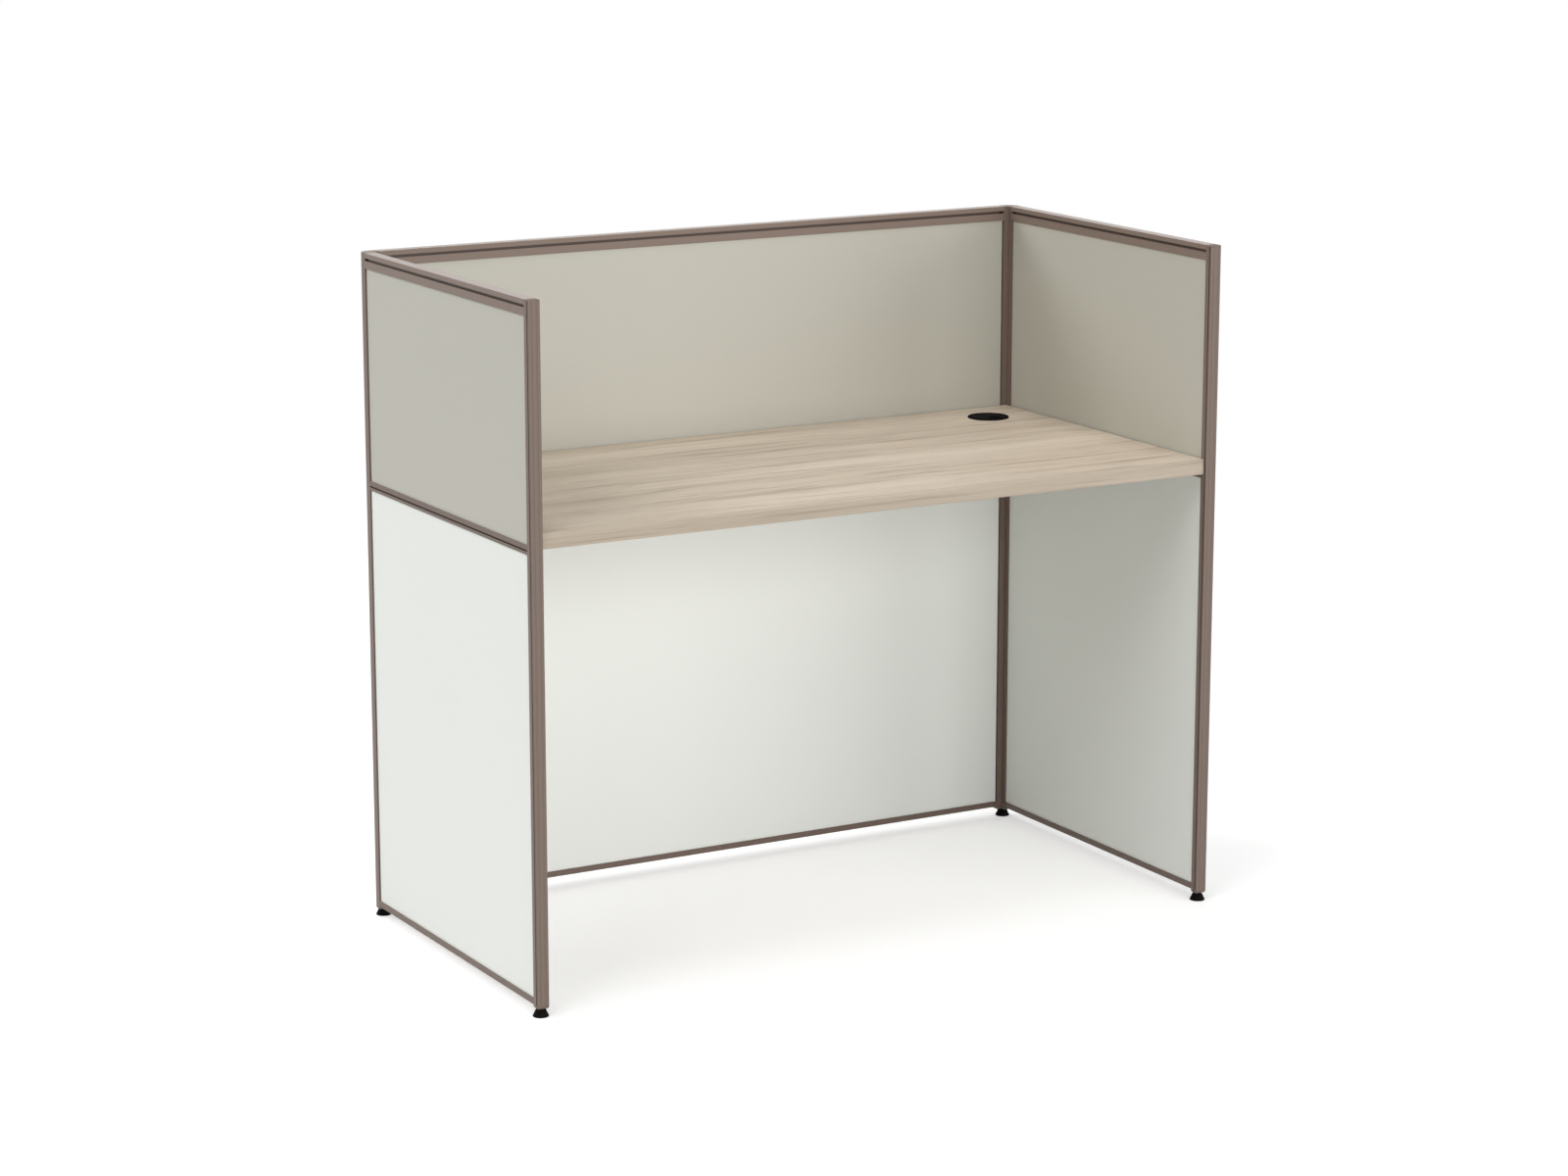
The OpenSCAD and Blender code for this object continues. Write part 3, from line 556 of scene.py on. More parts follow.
@dataclass(frozen=True)
class OakLaminate(Finish):
    """Light oak decor whose grain runs along X: broad bands, wavy streaks and fine lines.

    Each layer is given by its cells to a metre along and across the grain and its octaves.
    """

    pale: Triple
    mid: Triple
    dark: Triple
    across: float = 1.0
    wave: float = 0.03
    roughness: float = 0.5
    band: Triple = (0.8, 13.0, 2.0)
    streak: Triple = (2.4, 70.0, 3.0)
    vein: Triple = (4.5, 190.0, 3.0)
    line: Triple = (9.0, 520.0, 2.0)
    pore: Triple = (30.0, 1500.0, 1.0)
    weight: float = 0.58
    depth: float = 0.07 * MM
    strength: float = 0.35

    def draw(self, sheet: ShaderSheet) -> None:
        """Draws the finish on an empty sheet.

        Args:
            sheet: The material's empty sheet.
        """
        grain = self._grain(sheet)
        layers = (self.band, self.streak, self.vein, self.line, self.pore)
        band, streak, vein, line, pore = (self._drawn(sheet, grain, *layer) for layer in layers)
        ground = sheet.mixed(band.between(0.36, 0.64), self.pale, self.mid)
        worn = band.between(0.38, 0.60) * 0.6 + 0.4
        shade = streak.between(0.50, 0.70) * worn * 0.75 + vein.between(0.52, 0.68) * 0.35
        grained = sheet.mixed(shade.clamped(), ground, self.dark)
        ticks = pore.between(0.58, 0.72)
        tone = 1.0 + (line - 0.5) * 0.26 + (vein - 0.5) * 0.14 - ticks * 0.07
        sheet.surface(
            sheet.tinted(grained, tone), self.roughness + ticks * 0.1 + (line - 0.5) * 0.1
        )
        sheet.relief((1.0 - ticks) * 0.5 + line * 0.5, self.depth, self.strength)

    def _grain(self, sheet: ShaderSheet) -> object:
        """The place, swayed sideways so that no streak runs quite straight.

        Args:
            sheet: The material's sheet.

        Returns:
            The swayed place's socket.
        """
        slow = sheet.noise(sheet.scaled((1.9, 4.0, 4.0)), 1.0, 1.0)
        quick = sheet.noise(sheet.scaled((7.0, 16.0, 16.0)), 1.0, 2.0)
        sway = (slow - 0.5) * (self.wave * 2.0) + (quick - 0.5) * (self.wave * 0.35)
        offset = sheet.add("ShaderNodeCombineXYZ", {}, {"Y": sway, "Z": sway})
        moved = sheet.add(
            "ShaderNodeVectorMath", {"operation": "ADD"}, {0: sheet.place, 1: offset.outputs[0]}
        )
        return moved.outputs[0]

    def _drawn(
        self, sheet: ShaderSheet, grain: object, along: float, wide: float, detail: float
    ) -> Value:
        """A noise drawn out along the grain, by its cells to a metre along and across it."""
        side = wide * self.across
        return sheet.noise(sheet.scaled((along, side, side), grain), 1.0, detail, self.weight)


@dataclass(frozen=True)
class MouldedPlastic(Grained):
    """Moulded plastic with a fine spark-eroded grain."""

    roughness: float = 0.5
    grain: float = 1800.0
    weight: float = 0.65
    grain_tone: float = 0.1
    grain_rough: float = 0.16
    cloud: float = 30.0
    cloud_octaves: float = 2.0
    cloud_tone: float = 0.08
    strength: float = 0.5


@dataclass(frozen=True)
class SoftStrip(Grained):
    """Extruded soft PVC: matt, with faint lines along its length."""

    roughness: float = 0.7
    stretch: Triple = (900.0, 900.0, 4.0)
    grain_tone: float = 0.2


@dataclass(frozen=True)
class ZincPlate(Grained):
    """Bright zinc plate over turned or pressed steel."""

    roughness: float = 0.3
    stretch: Triple = (500.0, 500.0, 2600.0)
    grain_rough: float = 0.12
    cloud: float = 160.0
    cloud_tone: float = 0.18
    cloud_rough: float = 0.12
    depth: float = 0.01 * MM
    metallic: float = 1.0


class Palette:
    """Every finish of the workstation, made once."""

    def __init__(self) -> None:
        """Builds one material for each of the record's slots."""
        taupe = linear(119, 104, 95)
        finishes: dict[Slot, Finish] = {
            Slot.FRAME: PowderCoat("taupe_powder_coat", taupe),
            Slot.CAP: MouldedPlastic("taupe_moulding", linear(114, 98, 89), gloss=0.25),
            Slot.UPPER_BOARD: BoardLaminate("grey_beige_laminate", linear(186, 184, 173)),
            Slot.LOWER_BOARD: BoardLaminate("off_white_laminate", linear(236, 238, 233)),
            Slot.DESK: OakLaminate(
                "light_oak_laminate",
                linear(217, 203, 185),
                linear(202, 187, 168),
                linear(161, 143, 124),
            ),
            Slot.EDGE: OakLaminate(
                "light_oak_edging",
                linear(184, 170, 153),
                linear(172, 158, 140),
                linear(144, 129, 111),
                across=2.2,
                wave=0.004,
            ),
            Slot.STRIP: SoftStrip("dark_brown_strip", linear(36, 29, 25)),
            Slot.ANGLE: PowderCoat("black_powder_coat", linear(28, 28, 29), 0.45),
            Slot.ZINC: ZincPlate("bright_zinc", linear(196, 198, 202)),
            Slot.BLACK_SCREW: ZincPlate("black_oxide", linear(30, 28, 27), 0.58),
            Slot.BLACK_PLASTIC: MouldedPlastic(
                "black_moulding", linear(15, 14, 13), roughness=0.7, gloss=0.04
            ),
        }
        self.materials = {slot: finish.build() for slot, finish in finishes.items()}
        # Painted light and shade: the top rails take a lighter copy of the frame's taupe, the other
        # rails a darker one.
        self.top_rails = GroovedCoat("taupe_top_rail_coat", linear(128, 112, 102)).build()
        self.rails = GroovedCoat("taupe_rail_coat", linear(112, 96, 87)).build()

    def dress_cad(self, frame: Mapping[str, object]) -> None:
        """Gives every CAD node the finish of its slot, but the rails copies of the taupe with
        painted light on the top ones and painted shade on the rest.
        """
        slots = {row["node"]: row["material_slot"] for row in frame["record"]["subparts"]}
        for node, obj in frame["nodes"].items():
            material = self.materials[Slot(slots[node])]
            if node.endswith("_rail"):
                material = self.top_rails if node.endswith("top_rail") else self.rails
            obj.data.materials.clear()
            obj.data.materials.append(material)


# Hand tools


def deselect() -> None:
    """Selects nothing."""
    bpy.ops.object.select_all(action="DESELECT")


class Workpiece:
    """One mesh in the making, shaped with hand tools; its object stays at the origin."""

    def __init__(self, name: str) -> None:
        """Takes the primitive that was just added.

        Args:
            name: The piece's name.
        """
        self.obj = bpy.context.active_object
        self.obj.name = name
        self.obj.data.name = name
        bpy.ops.object.transform_apply(location=True, rotation=True, scale=True)

    @classmethod
    def box(cls, name: str, low: Sequence[float], high: Sequence[float]) -> "Workpiece":
        """A block between its lowest and its highest corner.

        Args:
            name: The piece's name.
            low: Its lowest corner.
            high: Its highest corner.

        Returns:
            The piece.
        """
        deselect()
        corner, far = Vector(low), Vector(high)
        bpy.ops.mesh.primitive_cube_add(size=1, location=(corner + far) / 2, scale=far - corner)
        return cls(name)

    @classmethod
    def rod(
        cls,
        name: str,
        radius: float,
        centre: Point,
        low: float,
        high: float,
        sides: int = 48,
    ) -> "Workpiece":
        """An upright bar between two heights.

        Args:
            name: The piece's name.
            radius: Its radius, to its corners.
            centre: Its axis, as X and Y.
            low: The height of its foot.
            high: The height of its head.
            sides: How many sides it has.

        Returns:
            The piece.
        """
        deselect()
        middle = (*centre, (low + high) / 2)
        bpy.ops.mesh.primitive_cylinder_add(
            vertices=sides, radius=radius, depth=high - low, location=middle
        )
        return cls(name)

    @classmethod
    def wire(cls, name: str, points: Sequence[Sequence[float]], closed: bool) -> "Workpiece":
        """A chain of edges, open or closed, drawn by extruding one vertex from point to point.

        Args:
            name: The piece's name.
            points: Where the chain goes.
            closed: Whether its ends are joined.

        Returns:
            The piece.
        """
        deselect()
        path = [Vector(p) for p in points]
        bpy.ops.mesh.primitive_plane_add(size=MM, location=path[0])
        piece = cls(name)
        with piece.editing():
            bpy.ops.mesh.merge(type="CENTER")
            for here, there in zip(path, path[1:]):
                bpy.ops.mesh.extrude_vertices_move(TRANSFORM_OT_translate={"value": there - here})
            if closed:
                ends = [path[0], path[-1]]
                piece.pick(Pick.VERT, lambda at, _: any((at - e).length < MERGE for e in ends))
                bpy.ops.mesh.edge_face_add()
        return piece

    @classmethod
    def lathed(
        cls, name: str, profile: Sequence[Point], centre: Point, steps: int, closed: bool
    ) -> "Workpiece":
        """A turned shape: a profile spun round an upright axis.

        Args:
            name: The piece's name.
            profile: The profile's points, as radius and height.
            centre: The axis, as X and Y.
            steps: How many sides the turn has.
            closed: Whether the profile is a closed loop that keeps off the axis.

        Returns:
            The piece.
        """
        x, y = centre
        piece = cls.wire(name, [(x + r, y, z) for r, z in profile], closed)
        with piece.editing():
            bpy.ops.mesh.spin(
                steps=steps, angle=math.tau, use_auto_merge=True, center=(x, y, 0), axis=(0, 0, 1)
            )
        piece.clean()
        return piece

    @classmethod
    def prism(
        cls, name: str, outline: Sequence[Sequence[float]], travel: Sequence[float]
    ) -> "Workpiece":
        """An outline in one plane, filled and pulled out to a bar.

        Args:
            name: The piece's name.
            outline: The outline's points in one plane.
            travel: How far and which way it is pulled.

        Returns:
            The piece.
        """
        piece = cls.wire(name, outline, True)
        with piece.editing():
            bpy.ops.mesh.edge_face_add()
            bpy.ops.mesh.select_all(action="SELECT")
            bpy.ops.mesh.extrude_region_move(TRANSFORM_OT_translate={"value": Vector(travel)})
        piece.clean()
        return piece

    def focus(self, *others: "Workpiece") -> None:
        """Selects this piece as the active one, and the others with it.

        Args:
            *others: The other pieces.
        """
        deselect()
        for piece in (self, *others):
            piece.obj.select_set(True)
        bpy.context.view_layer.objects.active = self.obj

    @contextmanager
    def editing(self) -> Iterator[None]:
        """Edit mode on this piece alone, with all of it selected.

        Returns:
            A context that lasts as long as its block and holds no value.
        """
        self.focus()
        bpy.ops.object.mode_set(mode="EDIT")
        bpy.ops.mesh.select_mode(type="VERT")
        bpy.ops.mesh.select_all(action="SELECT")
        try:
            yield
        finally:
            bpy.ops.object.mode_set(mode="OBJECT")

    def pick(self, kind: Pick, test: Test) -> int:
        """Selects by place and direction, in edit mode.

        Args:
            kind: What is selected.
            test: Takes a vertex's place and normal, an edge's middle and direction, or
                a face's middle and normal.

        Returns:
            How many were selected.
        """
        bpy.ops.mesh.select_mode(type=kind.value)
        bpy.ops.mesh.select_all(action="DESELECT")
        mesh = bmesh.from_edit_mesh(self.obj.data)
        if kind is Pick.VERT:
            found = [v for v in mesh.verts if test(v.co, v.normal)]
        elif kind is Pick.FACE:
            found = [f for f in mesh.faces if test(f.calc_center_median(), f.normal)]
        else:
            found = []
            for edge in mesh.edges:
                a, b = (v.co for v in edge.verts)
                if test((a + b) / 2, (b - a).normalized()):
                    found.append(edge)
        for item in found:
            item.select_set(True)
        mesh.select_flush_mode()
        bmesh.update_edit_mesh(self.obj.data)
        return len(found)

    def round_edges(self, test: Test, width: float, segments: int = 3) -> None:
        """Bevels the edges that pass a test.

        Args:
            test: Takes an edge's middle and direction.
            width: The bevel's width.
            segments: How many steps it has; one gives a chamfer.
        """
        with self.editing():
            if self.pick(Pick.EDGE, test):
                bpy.ops.mesh.bevel(offset=width, segments=segments, profile=0.5, affect="EDGES")

    def clean(self) -> None:
        """Merges doubles and turns all faces outwards."""
        with self.editing():
            bpy.ops.mesh.remove_doubles(threshold=MERGE)
            bpy.ops.mesh.select_all(action="SELECT")
            bpy.ops.mesh.normals_make_consistent(inside=False)

    def modify(self, kind: str, **settings: object) -> None:
        """Adds a modifier with these settings and applies it.

        Args:
            kind: The modifier's type.
            **settings: Its settings.
        """
        self.focus()
        modifier = self.obj.modifiers.new(kind.lower(), kind)
        for name, value in settings.items():
            setattr(modifier, name, value)
        bpy.ops.object.modifier_apply(modifier=modifier.name)

    def combine(self, other: "Workpiece", operation: str) -> None:
        """Unites this piece with another, cuts the other out of it or keeps their overlap.

        Args:
            other: The other piece, which is used up.
            operation: UNION, DIFFERENCE or INTERSECT.
        """
        self.modify("BOOLEAN", operation=operation, solver="EXACT", object=other.obj)
        bpy.data.objects.remove(other.obj, do_unlink=True)
        self.clean()

    def drill(
        self, places: Sequence[Point], radius: float, low: float, high: float, sides: int = 48
    ) -> None:
        """Cuts upright round holes between two heights, all in one go.

        Args:
            places: The holes' axes, as X and Y.
            radius: Their radius.
            low: Where they begin.
            high: Where they end.
            sides: How many sides each has.
        """
        bits = [Workpiece.rod("drill", radius, place, low, high, sides) for place in places]
        if len(bits) > 1:
            bits[0].joined(bits[1:])
        self.combine(bits[0], "DIFFERENCE")

    def joined(self, others: Sequence["Workpiece"]) -> None:
        """Takes other pieces' meshes into this one, which uses them up."""
        self.focus(*others)
        bpy.ops.object.join()

    def copied(self, name: str, change: Matrix) -> "Workpiece":
        """A copy with a mesh of its own, moved, turned or mirrored.

        Args:
            name: The copy's name.
            change: What happens to its mesh.

        Returns:
            The copy.
        """
        self.focus()
        bpy.ops.object.duplicate(linked=False)
        copy = bpy.context.active_object
        copy.data.transform(change)
        if change.determinant() < 0:
            copy.data.flip_normals()
        return Workpiece(name)

    def finish(
        self,
        palette: Palette,
        slot: Slot,
        *nodes: str,
        body: str = Body.FRAME.value,
        angle: float = 35.0,
    ) -> None:
        """Args:
            palette: The finishes.
            slot: The slot whose finish it takes.
            *nodes: The CAD nodes that it stands for.
            body: The CAD body that carries it.
            angle: Edges sharper than this stay sharp, in degrees.
        """
        self.focus()
        bpy.ops.object.shade_smooth_by_angle(angle=math.radians(angle))
        self.obj.data.materials.clear()
        self.obj.data.materials.append(palette.materials[slot])
        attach(self.obj, body)
        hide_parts(*nodes)
        log.info("%s: %d faces", self.obj.name, len(self.obj.data.polygons))

    def finish_pair(self, palette: Palette, slot: Slot, node: str) -> None:
        """Finishes a left piece and its mirror image on the right.

        Args:
            palette: The finishes.
            slot: Their slot.
            node: The CAD nodes' name without its side.
        """
        other = self.copied(f"right_{self.obj.name[5:]}", MIRROR)
        self.finish(palette, slot, f"left_{node}")
        other.finish(palette, slot, f"right_{node}")


def arc(centre: Point, radius: float, start: float, end: float, steps: int) -> list[Point]:
    """Points along an arc between two angles, in degrees."""
    angles = [math.radians(start + (end - start) * i / steps) for i in range(steps + 1)]
    return [(centre[0] + radius * math.cos(a), centre[1] + radius * math.sin(a)) for a in angles]


# Pieces


@dataclass
class Assembly:
    """A sub-assembly of the workstation, dressed from one palette."""

    palette: Palette


@dataclass
class Desk(Assembly):
    """The desktop with its edge band."""

    half_width: float = 599.5 * MM
    front: float = -304.5 * MM
    back: float = 289.5 * MM
    top: float = 750 * MM
    thickness: float = 25 * MM
    band: float = 2 * MM
    band_round: float = 1 * MM
    arris: float = 0.4 * MM
    port: Point = (505 * MM, 200 * MM)
    port_radius: float = 30 * MM
    screw_places: list[Point] = field(default_factory=list)
    pilot_radius: float = 2.05 * MM
    pilot_depth: float = 14.05 * MM
    pilot_sides: int = 16
    round_sides: int = 96

    def build(self) -> None:
        """Makes both pieces."""
        self._slab()
        self._band()

    def _slab(self) -> None:
        """The board with softened edges, the port's hole and the pilot holes."""
        under = self.top - self.thickness
        seam = self.front + self.band
        slab = Workpiece.box(
            "desk_board", (-self.half_width, seam, under), (self.half_width, self.back, self.top)
        )
        slab.round_edges(lambda at, _: at.y > seam + MM, self.arris, 3)
        low = under - MM
        slab.drill([self.port], self.port_radius, low, self.top + MM, self.round_sides)
        bottom = under + self.pilot_depth
        slab.drill(self.screw_places, self.pilot_radius, low, bottom, self.pilot_sides)
        slab.finish(self.palette, Slot.DESK, "desktop")

    def _band(self) -> None:
        """The edge band with its front edges rounded."""
        low, seam = self.front, self.front + self.band
        band = Workpiece.box(
            "desk_edge_band",
            (-self.half_width, low, self.top - self.thickness),
            (self.half_width, seam, self.top),
        )
        band.round_edges(
            lambda at, way: abs(way.x) > ALONG and at.y < low + MERGE, self.band_round, 5
        )
        band.finish(self.palette, Slot.EDGE, "desktop_edge_band")


@dataclass
class DeskSupports(Assembly):
    """The three steel angles under the desktop and the screws through them."""

    half_in: float = 600 * MM
    back_in: float = 290 * MM
    under: float = 725 * MM
    hook: float = 2.7 * MM
    width: float = 32 * MM
    height: float = 28 * MM
    thickness: float = 2.3 * MM
    gap: float = 0.3 * MM
    side_length: float = 360 * MM
    back_length: float = 900 * MM
    corner: float = 7 * MM
    fillet: float = 1.2 * MM
    arris: float = 0.35 * MM
    screw_in: float = 20 * MM
    screw_end: float = 25 * MM
    side_screws: int = 4
    back_screws: int = 6
    hole_radius: float = 2.05 * MM
    hole_sides: int = 24
    head_radius: float = 4 * MM
    head_height: float = 2.2 * MM
    head_rim: float = 0.3
    head_angles: tuple[int, ...] = (20, 40, 60, 75, 90)
    head_sides: int = 32
    shank_radius: float = 2 * MM
    shank_length: float = 14 * MM
    tip: float = 0.3
    socket_radius: float = 1.443 * MM
    socket_depth: float = 1.2 * MM

    def places(self, length: float, count: int) -> list[float]:
        """The screws' places along an angle, from its middle."""
        span = length - 2 * self.screw_end
        return [-span / 2 + i * span / (count - 1) for i in range(count)]

    def side_places(self, sign: int) -> list[Point]:
        """The screws' places along one side."""
        x = sign * (self.half_in - self.screw_in)
        return [(x, y) for y in self.places(self.side_length, self.side_screws)]

    def back_places(self) -> list[Point]:
        """The screws' places along the back."""
        y = self.back_in - self.screw_in
        return [(x, y) for x in self.places(self.back_length, self.back_screws)]

    def all_places(self) -> list[Point]:
        """Every screw's place, in plan."""
        return self.side_places(-1) + self.side_places(1) + self.back_places()

    def build(self) -> None:
        """Makes the angles and the screws."""
        left = self._angle("left_angle", self.side_length)
        left.obj.data.transform(Matrix.Translation((-self.half_in, 0, self.under)))
        right = left.copied("right_angle", MIRROR)
        back = self._angle("back_angle", self.back_length)
        quarter = Matrix.Rotation(math.radians(-90), 4, "Z")
        back.obj.data.transform(Matrix.Translation((0, self.back_in, self.under)) @ quarter)
        rows = [
            (left, self.side_places(-1), "left_desk_angle"),
            (right, self.side_places(1), "right_desk_angle"),
            (back, self.back_places(), "back_desk_angle"),
        ]
        for piece, places, node in rows:
            low = self.under - self.thickness - MM
            piece.drill(places, self.hole_radius, low, self.under + MM, self.hole_sides)
            piece.finish(self.palette, Slot.ANGLE, node)
        self._screws()

    def _angle(self, name: str, length: float) -> Workpiece:
        """An angle along Y, its groove edge at X = 0 and its upper face at Z = 0.

        Args:
            name: Its name.
            length: Its length.

        Returns:
            The angle, without its holes.
        """
        wall, deep = self.gap + self.thickness, -self.thickness
        outline = [
            (-self.hook, 0.0), (self.width, 0.0), (self.width, deep), (wall, deep),
            (wall, -self.height), (self.gap, -self.height), (self.gap, deep),
            (-self.hook, deep),
        ]
        piece = Workpiece.prism(name, [(x, -length / 2, z) for x, z in outline], (0, length, 0))
        piece.round_edges(
            lambda at, way: abs(way.z) > ALONG and at.x > self.width - MM, self.corner, 8
        )
        piece.round_edges(
            lambda at, way: abs(way.y) > ALONG
            and abs(at.x - wall) < MERGE
            and abs(at.z - deep) < MERGE,
            self.fillet,
            5,
        )
        piece.round_edges(
            lambda at, way: abs(way.y) > ALONG and (at.z > -MERGE or at.z < MM - self.height),
            self.arris,
            2,
        )
        return piece

    def _screws(self) -> None:
        """Domed screws with hexagon sockets, all in one piece."""
        seat = self.under - self.thickness
        crown = seat - self.head_height
        end = self.under + self.shank_length
        profile = [(0.0, crown)]
        for angle in map(math.radians, self.head_angles):
            dome = self.head_rim + (1 - self.head_rim) * math.cos(angle)
            profile.append((self.head_radius * math.sin(angle), seat - self.head_height * dome))
        profile += [
            (self.head_radius, seat), (self.shank_radius, seat),
            (self.shank_radius, end - self.shank_radius), (self.shank_radius * self.tip, end),
            (0.0, end),
        ]
        first = Workpiece.lathed("desk_screw_set", profile, (0, 0), self.head_sides, False)
        socket = Workpiece.rod(
            "socket", self.socket_radius, (0, 0), crown - MM, crown + self.socket_depth, 6
        )
        first.combine(socket, "DIFFERENCE")
        places = self.all_places()
        copies = [first.copied("desk_screw", Matrix.Translation((x, y, 0))) for x, y in places[1:]]
        first.obj.data.transform(Matrix.Translation((*places[0], 0)))
        first.joined(copies)
        first.finish(self.palette, Slot.ZINC, "desk_screws")


@dataclass
class PostTrim(Assembly):
    """What the mouldings of every post share; the left post's are drawn, then mirrored."""

    wall: float = -610 * MM
    half: float = 10 * MM
    low: float = 19 * MM
    lift: float = 13.5 * MM
    high: float = 1097.6 * MM
    top: float = 1100 * MM
    spigot: float = 9 * MM
    stem_radius: float = 3.1 * MM
    overlap: float = 0.5 * MM


@dataclass
class FrontPostTrim(PostTrim):
    """The cover, cap and shoe of a front post."""

    front: float = -310 * MM
    cover: float = 2.2 * MM
    chamfer: float = 1 * MM
    gap: float = 2.8 * MM
    strip: float = 9 * MM
    flute_at: float = 4.2 * MM
    flute_half: float = 1.5 * MM
    flute_depth: float = 0.8 * MM
    flute_marks: tuple[float, ...] = (-1, -0.6, -0.2, 0.2, 0.6, 1)
    leg_in: float = 6 * MM
    leg: float = 1.2 * MM
    leg_end: float = 4.8 * MM
    rim: float = 2.8 * MM
    recess: float = 0.8 * MM
    recess_taper: Triple = (0.96, 0.94, 1.0)
    rim_edge: float = 0.7 * MM
    recess_edge: float = 0.2 * MM
    prong_in: float = 5.2 * MM
    prong: float = 2.9 * MM
    prong_start: float = 6.5 * MM
    prong_depth: float = 7.4 * MM
    shoe_prong: float = 15 * MM
    shoe_chamfer: float = 2 * MM
    arris: float = 0.3 * MM

    @property
    def depth(self) -> float:
        """The depth of the cap and the shoe."""
        return self.cover + self.gap + self.strip

    def build(self) -> None:
        """Makes the six pieces."""
        rows = [
            (self._cover(), Slot.FRAME, "front_cover"),
            (self._cap(), Slot.CAP, "front_cap"), (self._shoe(), Slot.CAP, "front_shoe"),
        ]
        for piece, slot, node in rows:
            piece.finish_pair(self.palette, slot, node)

    def _cover(self) -> Workpiece:
        """The fluted cover, with legs that grip the post's ribs.

        Returns:
            The left cover.
        """
        flute = [
            (self.flute_half * u, self.flute_depth * math.cos(math.pi * u / 2))
            for u in self.flute_marks
        ]
        face = [(-self.half, self.chamfer), *arc_corner(-self.half, self.chamfer)]
        face += [(x - self.flute_at, y) for x, y in flute]
        face += [(x + self.flute_at, y) for x, y in flute]
        face += [(-x, y) for x, y in reversed(arc_corner(-self.half, self.chamfer))]
        face += [(self.half, self.chamfer), (self.half, self.cover)]
        legs = [
            (self.leg_in + self.leg, self.cover), (self.leg_in + self.leg, self.leg_end),
            (self.leg_in, self.leg_end), (self.leg_in, self.cover),
        ]
        back = legs + [(-x, y) for x, y in reversed(legs)] + [(-self.half, self.cover)]
        outline = [(self.wall + x, self.front + y, self.low) for x, y in face + back]
        return Workpiece.prism("left_cover", outline, (0, 0, self.high - self.low))

    def _block(self, name: str, low: float, high: float) -> Workpiece:
        """A block over the post's plan, its front corners cut.

        Args:
            name: Its name.
            low: The height of its underside.
            high: The height of its top.

        Returns:
            The block.
        """
        block = Workpiece.box(
            name,
            (self.wall - self.half, self.front, low),
            (self.wall + self.half, self.front + self.depth, high),
        )
        block.round_edges(
            lambda at, way: abs(way.z) > ALONG and at.y < self.front + MERGE, self.chamfer, 1
        )
        return block

    def _prongs(self, piece: Workpiece, low: float, high: float) -> None:
        """Adds the two prongs that fill the post's channel.

        Args:
            piece: What they are added to.
            low: Where they begin.
            high: Where they end.
        """
        for sign in (-1, 1):
            near = self.wall + sign * self.prong_in
            far = near + sign * self.prong
            prong = Workpiece.box(
                "prong",
                (min(near, far), self.front + self.prong_start, low),
                (max(near, far), self.front + self.prong_start + self.prong_depth, high),
            )
            piece.combine(prong, "UNION")

    def _cap(self) -> Workpiece:
        """The cap with its shallow recess and softened edges.

        Returns:
            The left cap.
        """
        cap = self._block("left_cap", self.high, self.top)
        with cap.editing():
            cap.pick(Pick.FACE, lambda at, normal: normal.z > ALONG)
            bpy.ops.mesh.inset(thickness=self.rim, depth=0)
            bpy.ops.mesh.extrude_region_move(TRANSFORM_OT_translate={"value": (0, 0, -self.recess)})
            middle = (self.wall, self.front + self.depth / 2, self.top)
            bpy.ops.transform.resize(value=self.recess_taper, center_override=middle)
        edge = self.half - MERGE
        cap.round_edges(
            lambda at, way: at.z > self.top - MERGE
            and (
                abs(at.x - self.wall) > edge - self.chamfer
                or at.y < self.front + self.chamfer
                or at.y > self.front + self.depth - MERGE
            ),
            self.rim_edge,
            4,
        )
        cap.round_edges(
            lambda at, way: at.z > self.top - MERGE
            and abs(at.x - self.wall) < self.half - self.rim + MM
            and abs(at.y - self.front - self.depth / 2) < self.depth / 2 - self.rim + MM,
            self.recess_edge,
            2,
        )
        self._prongs(cap, self.high - self.spigot, self.high + self.overlap)
        return cap

    def _shoe(self) -> Workpiece:
        """The shoe under the post, its bottom edges cut at 45 degrees.

        Returns:
            The left shoe.
        """
        shoe = self._block("left_shoe", self.lift, self.low)
        shoe.round_edges(lambda at, _: at.z < self.lift + MERGE, self.shoe_chamfer, 1)
        shoe.modify("BEVEL", width=self.arris, segments=2, limit_method="ANGLE")
        axis = (self.wall, self.front + self.half)
        shoe.drill([axis], self.stem_radius, self.lift - MM, self.low + MM)
        self._prongs(shoe, self.low - self.overlap, self.low + self.shoe_prong)
        return shoe


def arc_corner(edge: float, size: float) -> list[Point]:
    """A softened 45-degree cut between a cover's side and its face."""
    near, far = (share * size for share in CUT)
    return [(edge + near, far), (edge + far, near), (edge + size, 0.0)]


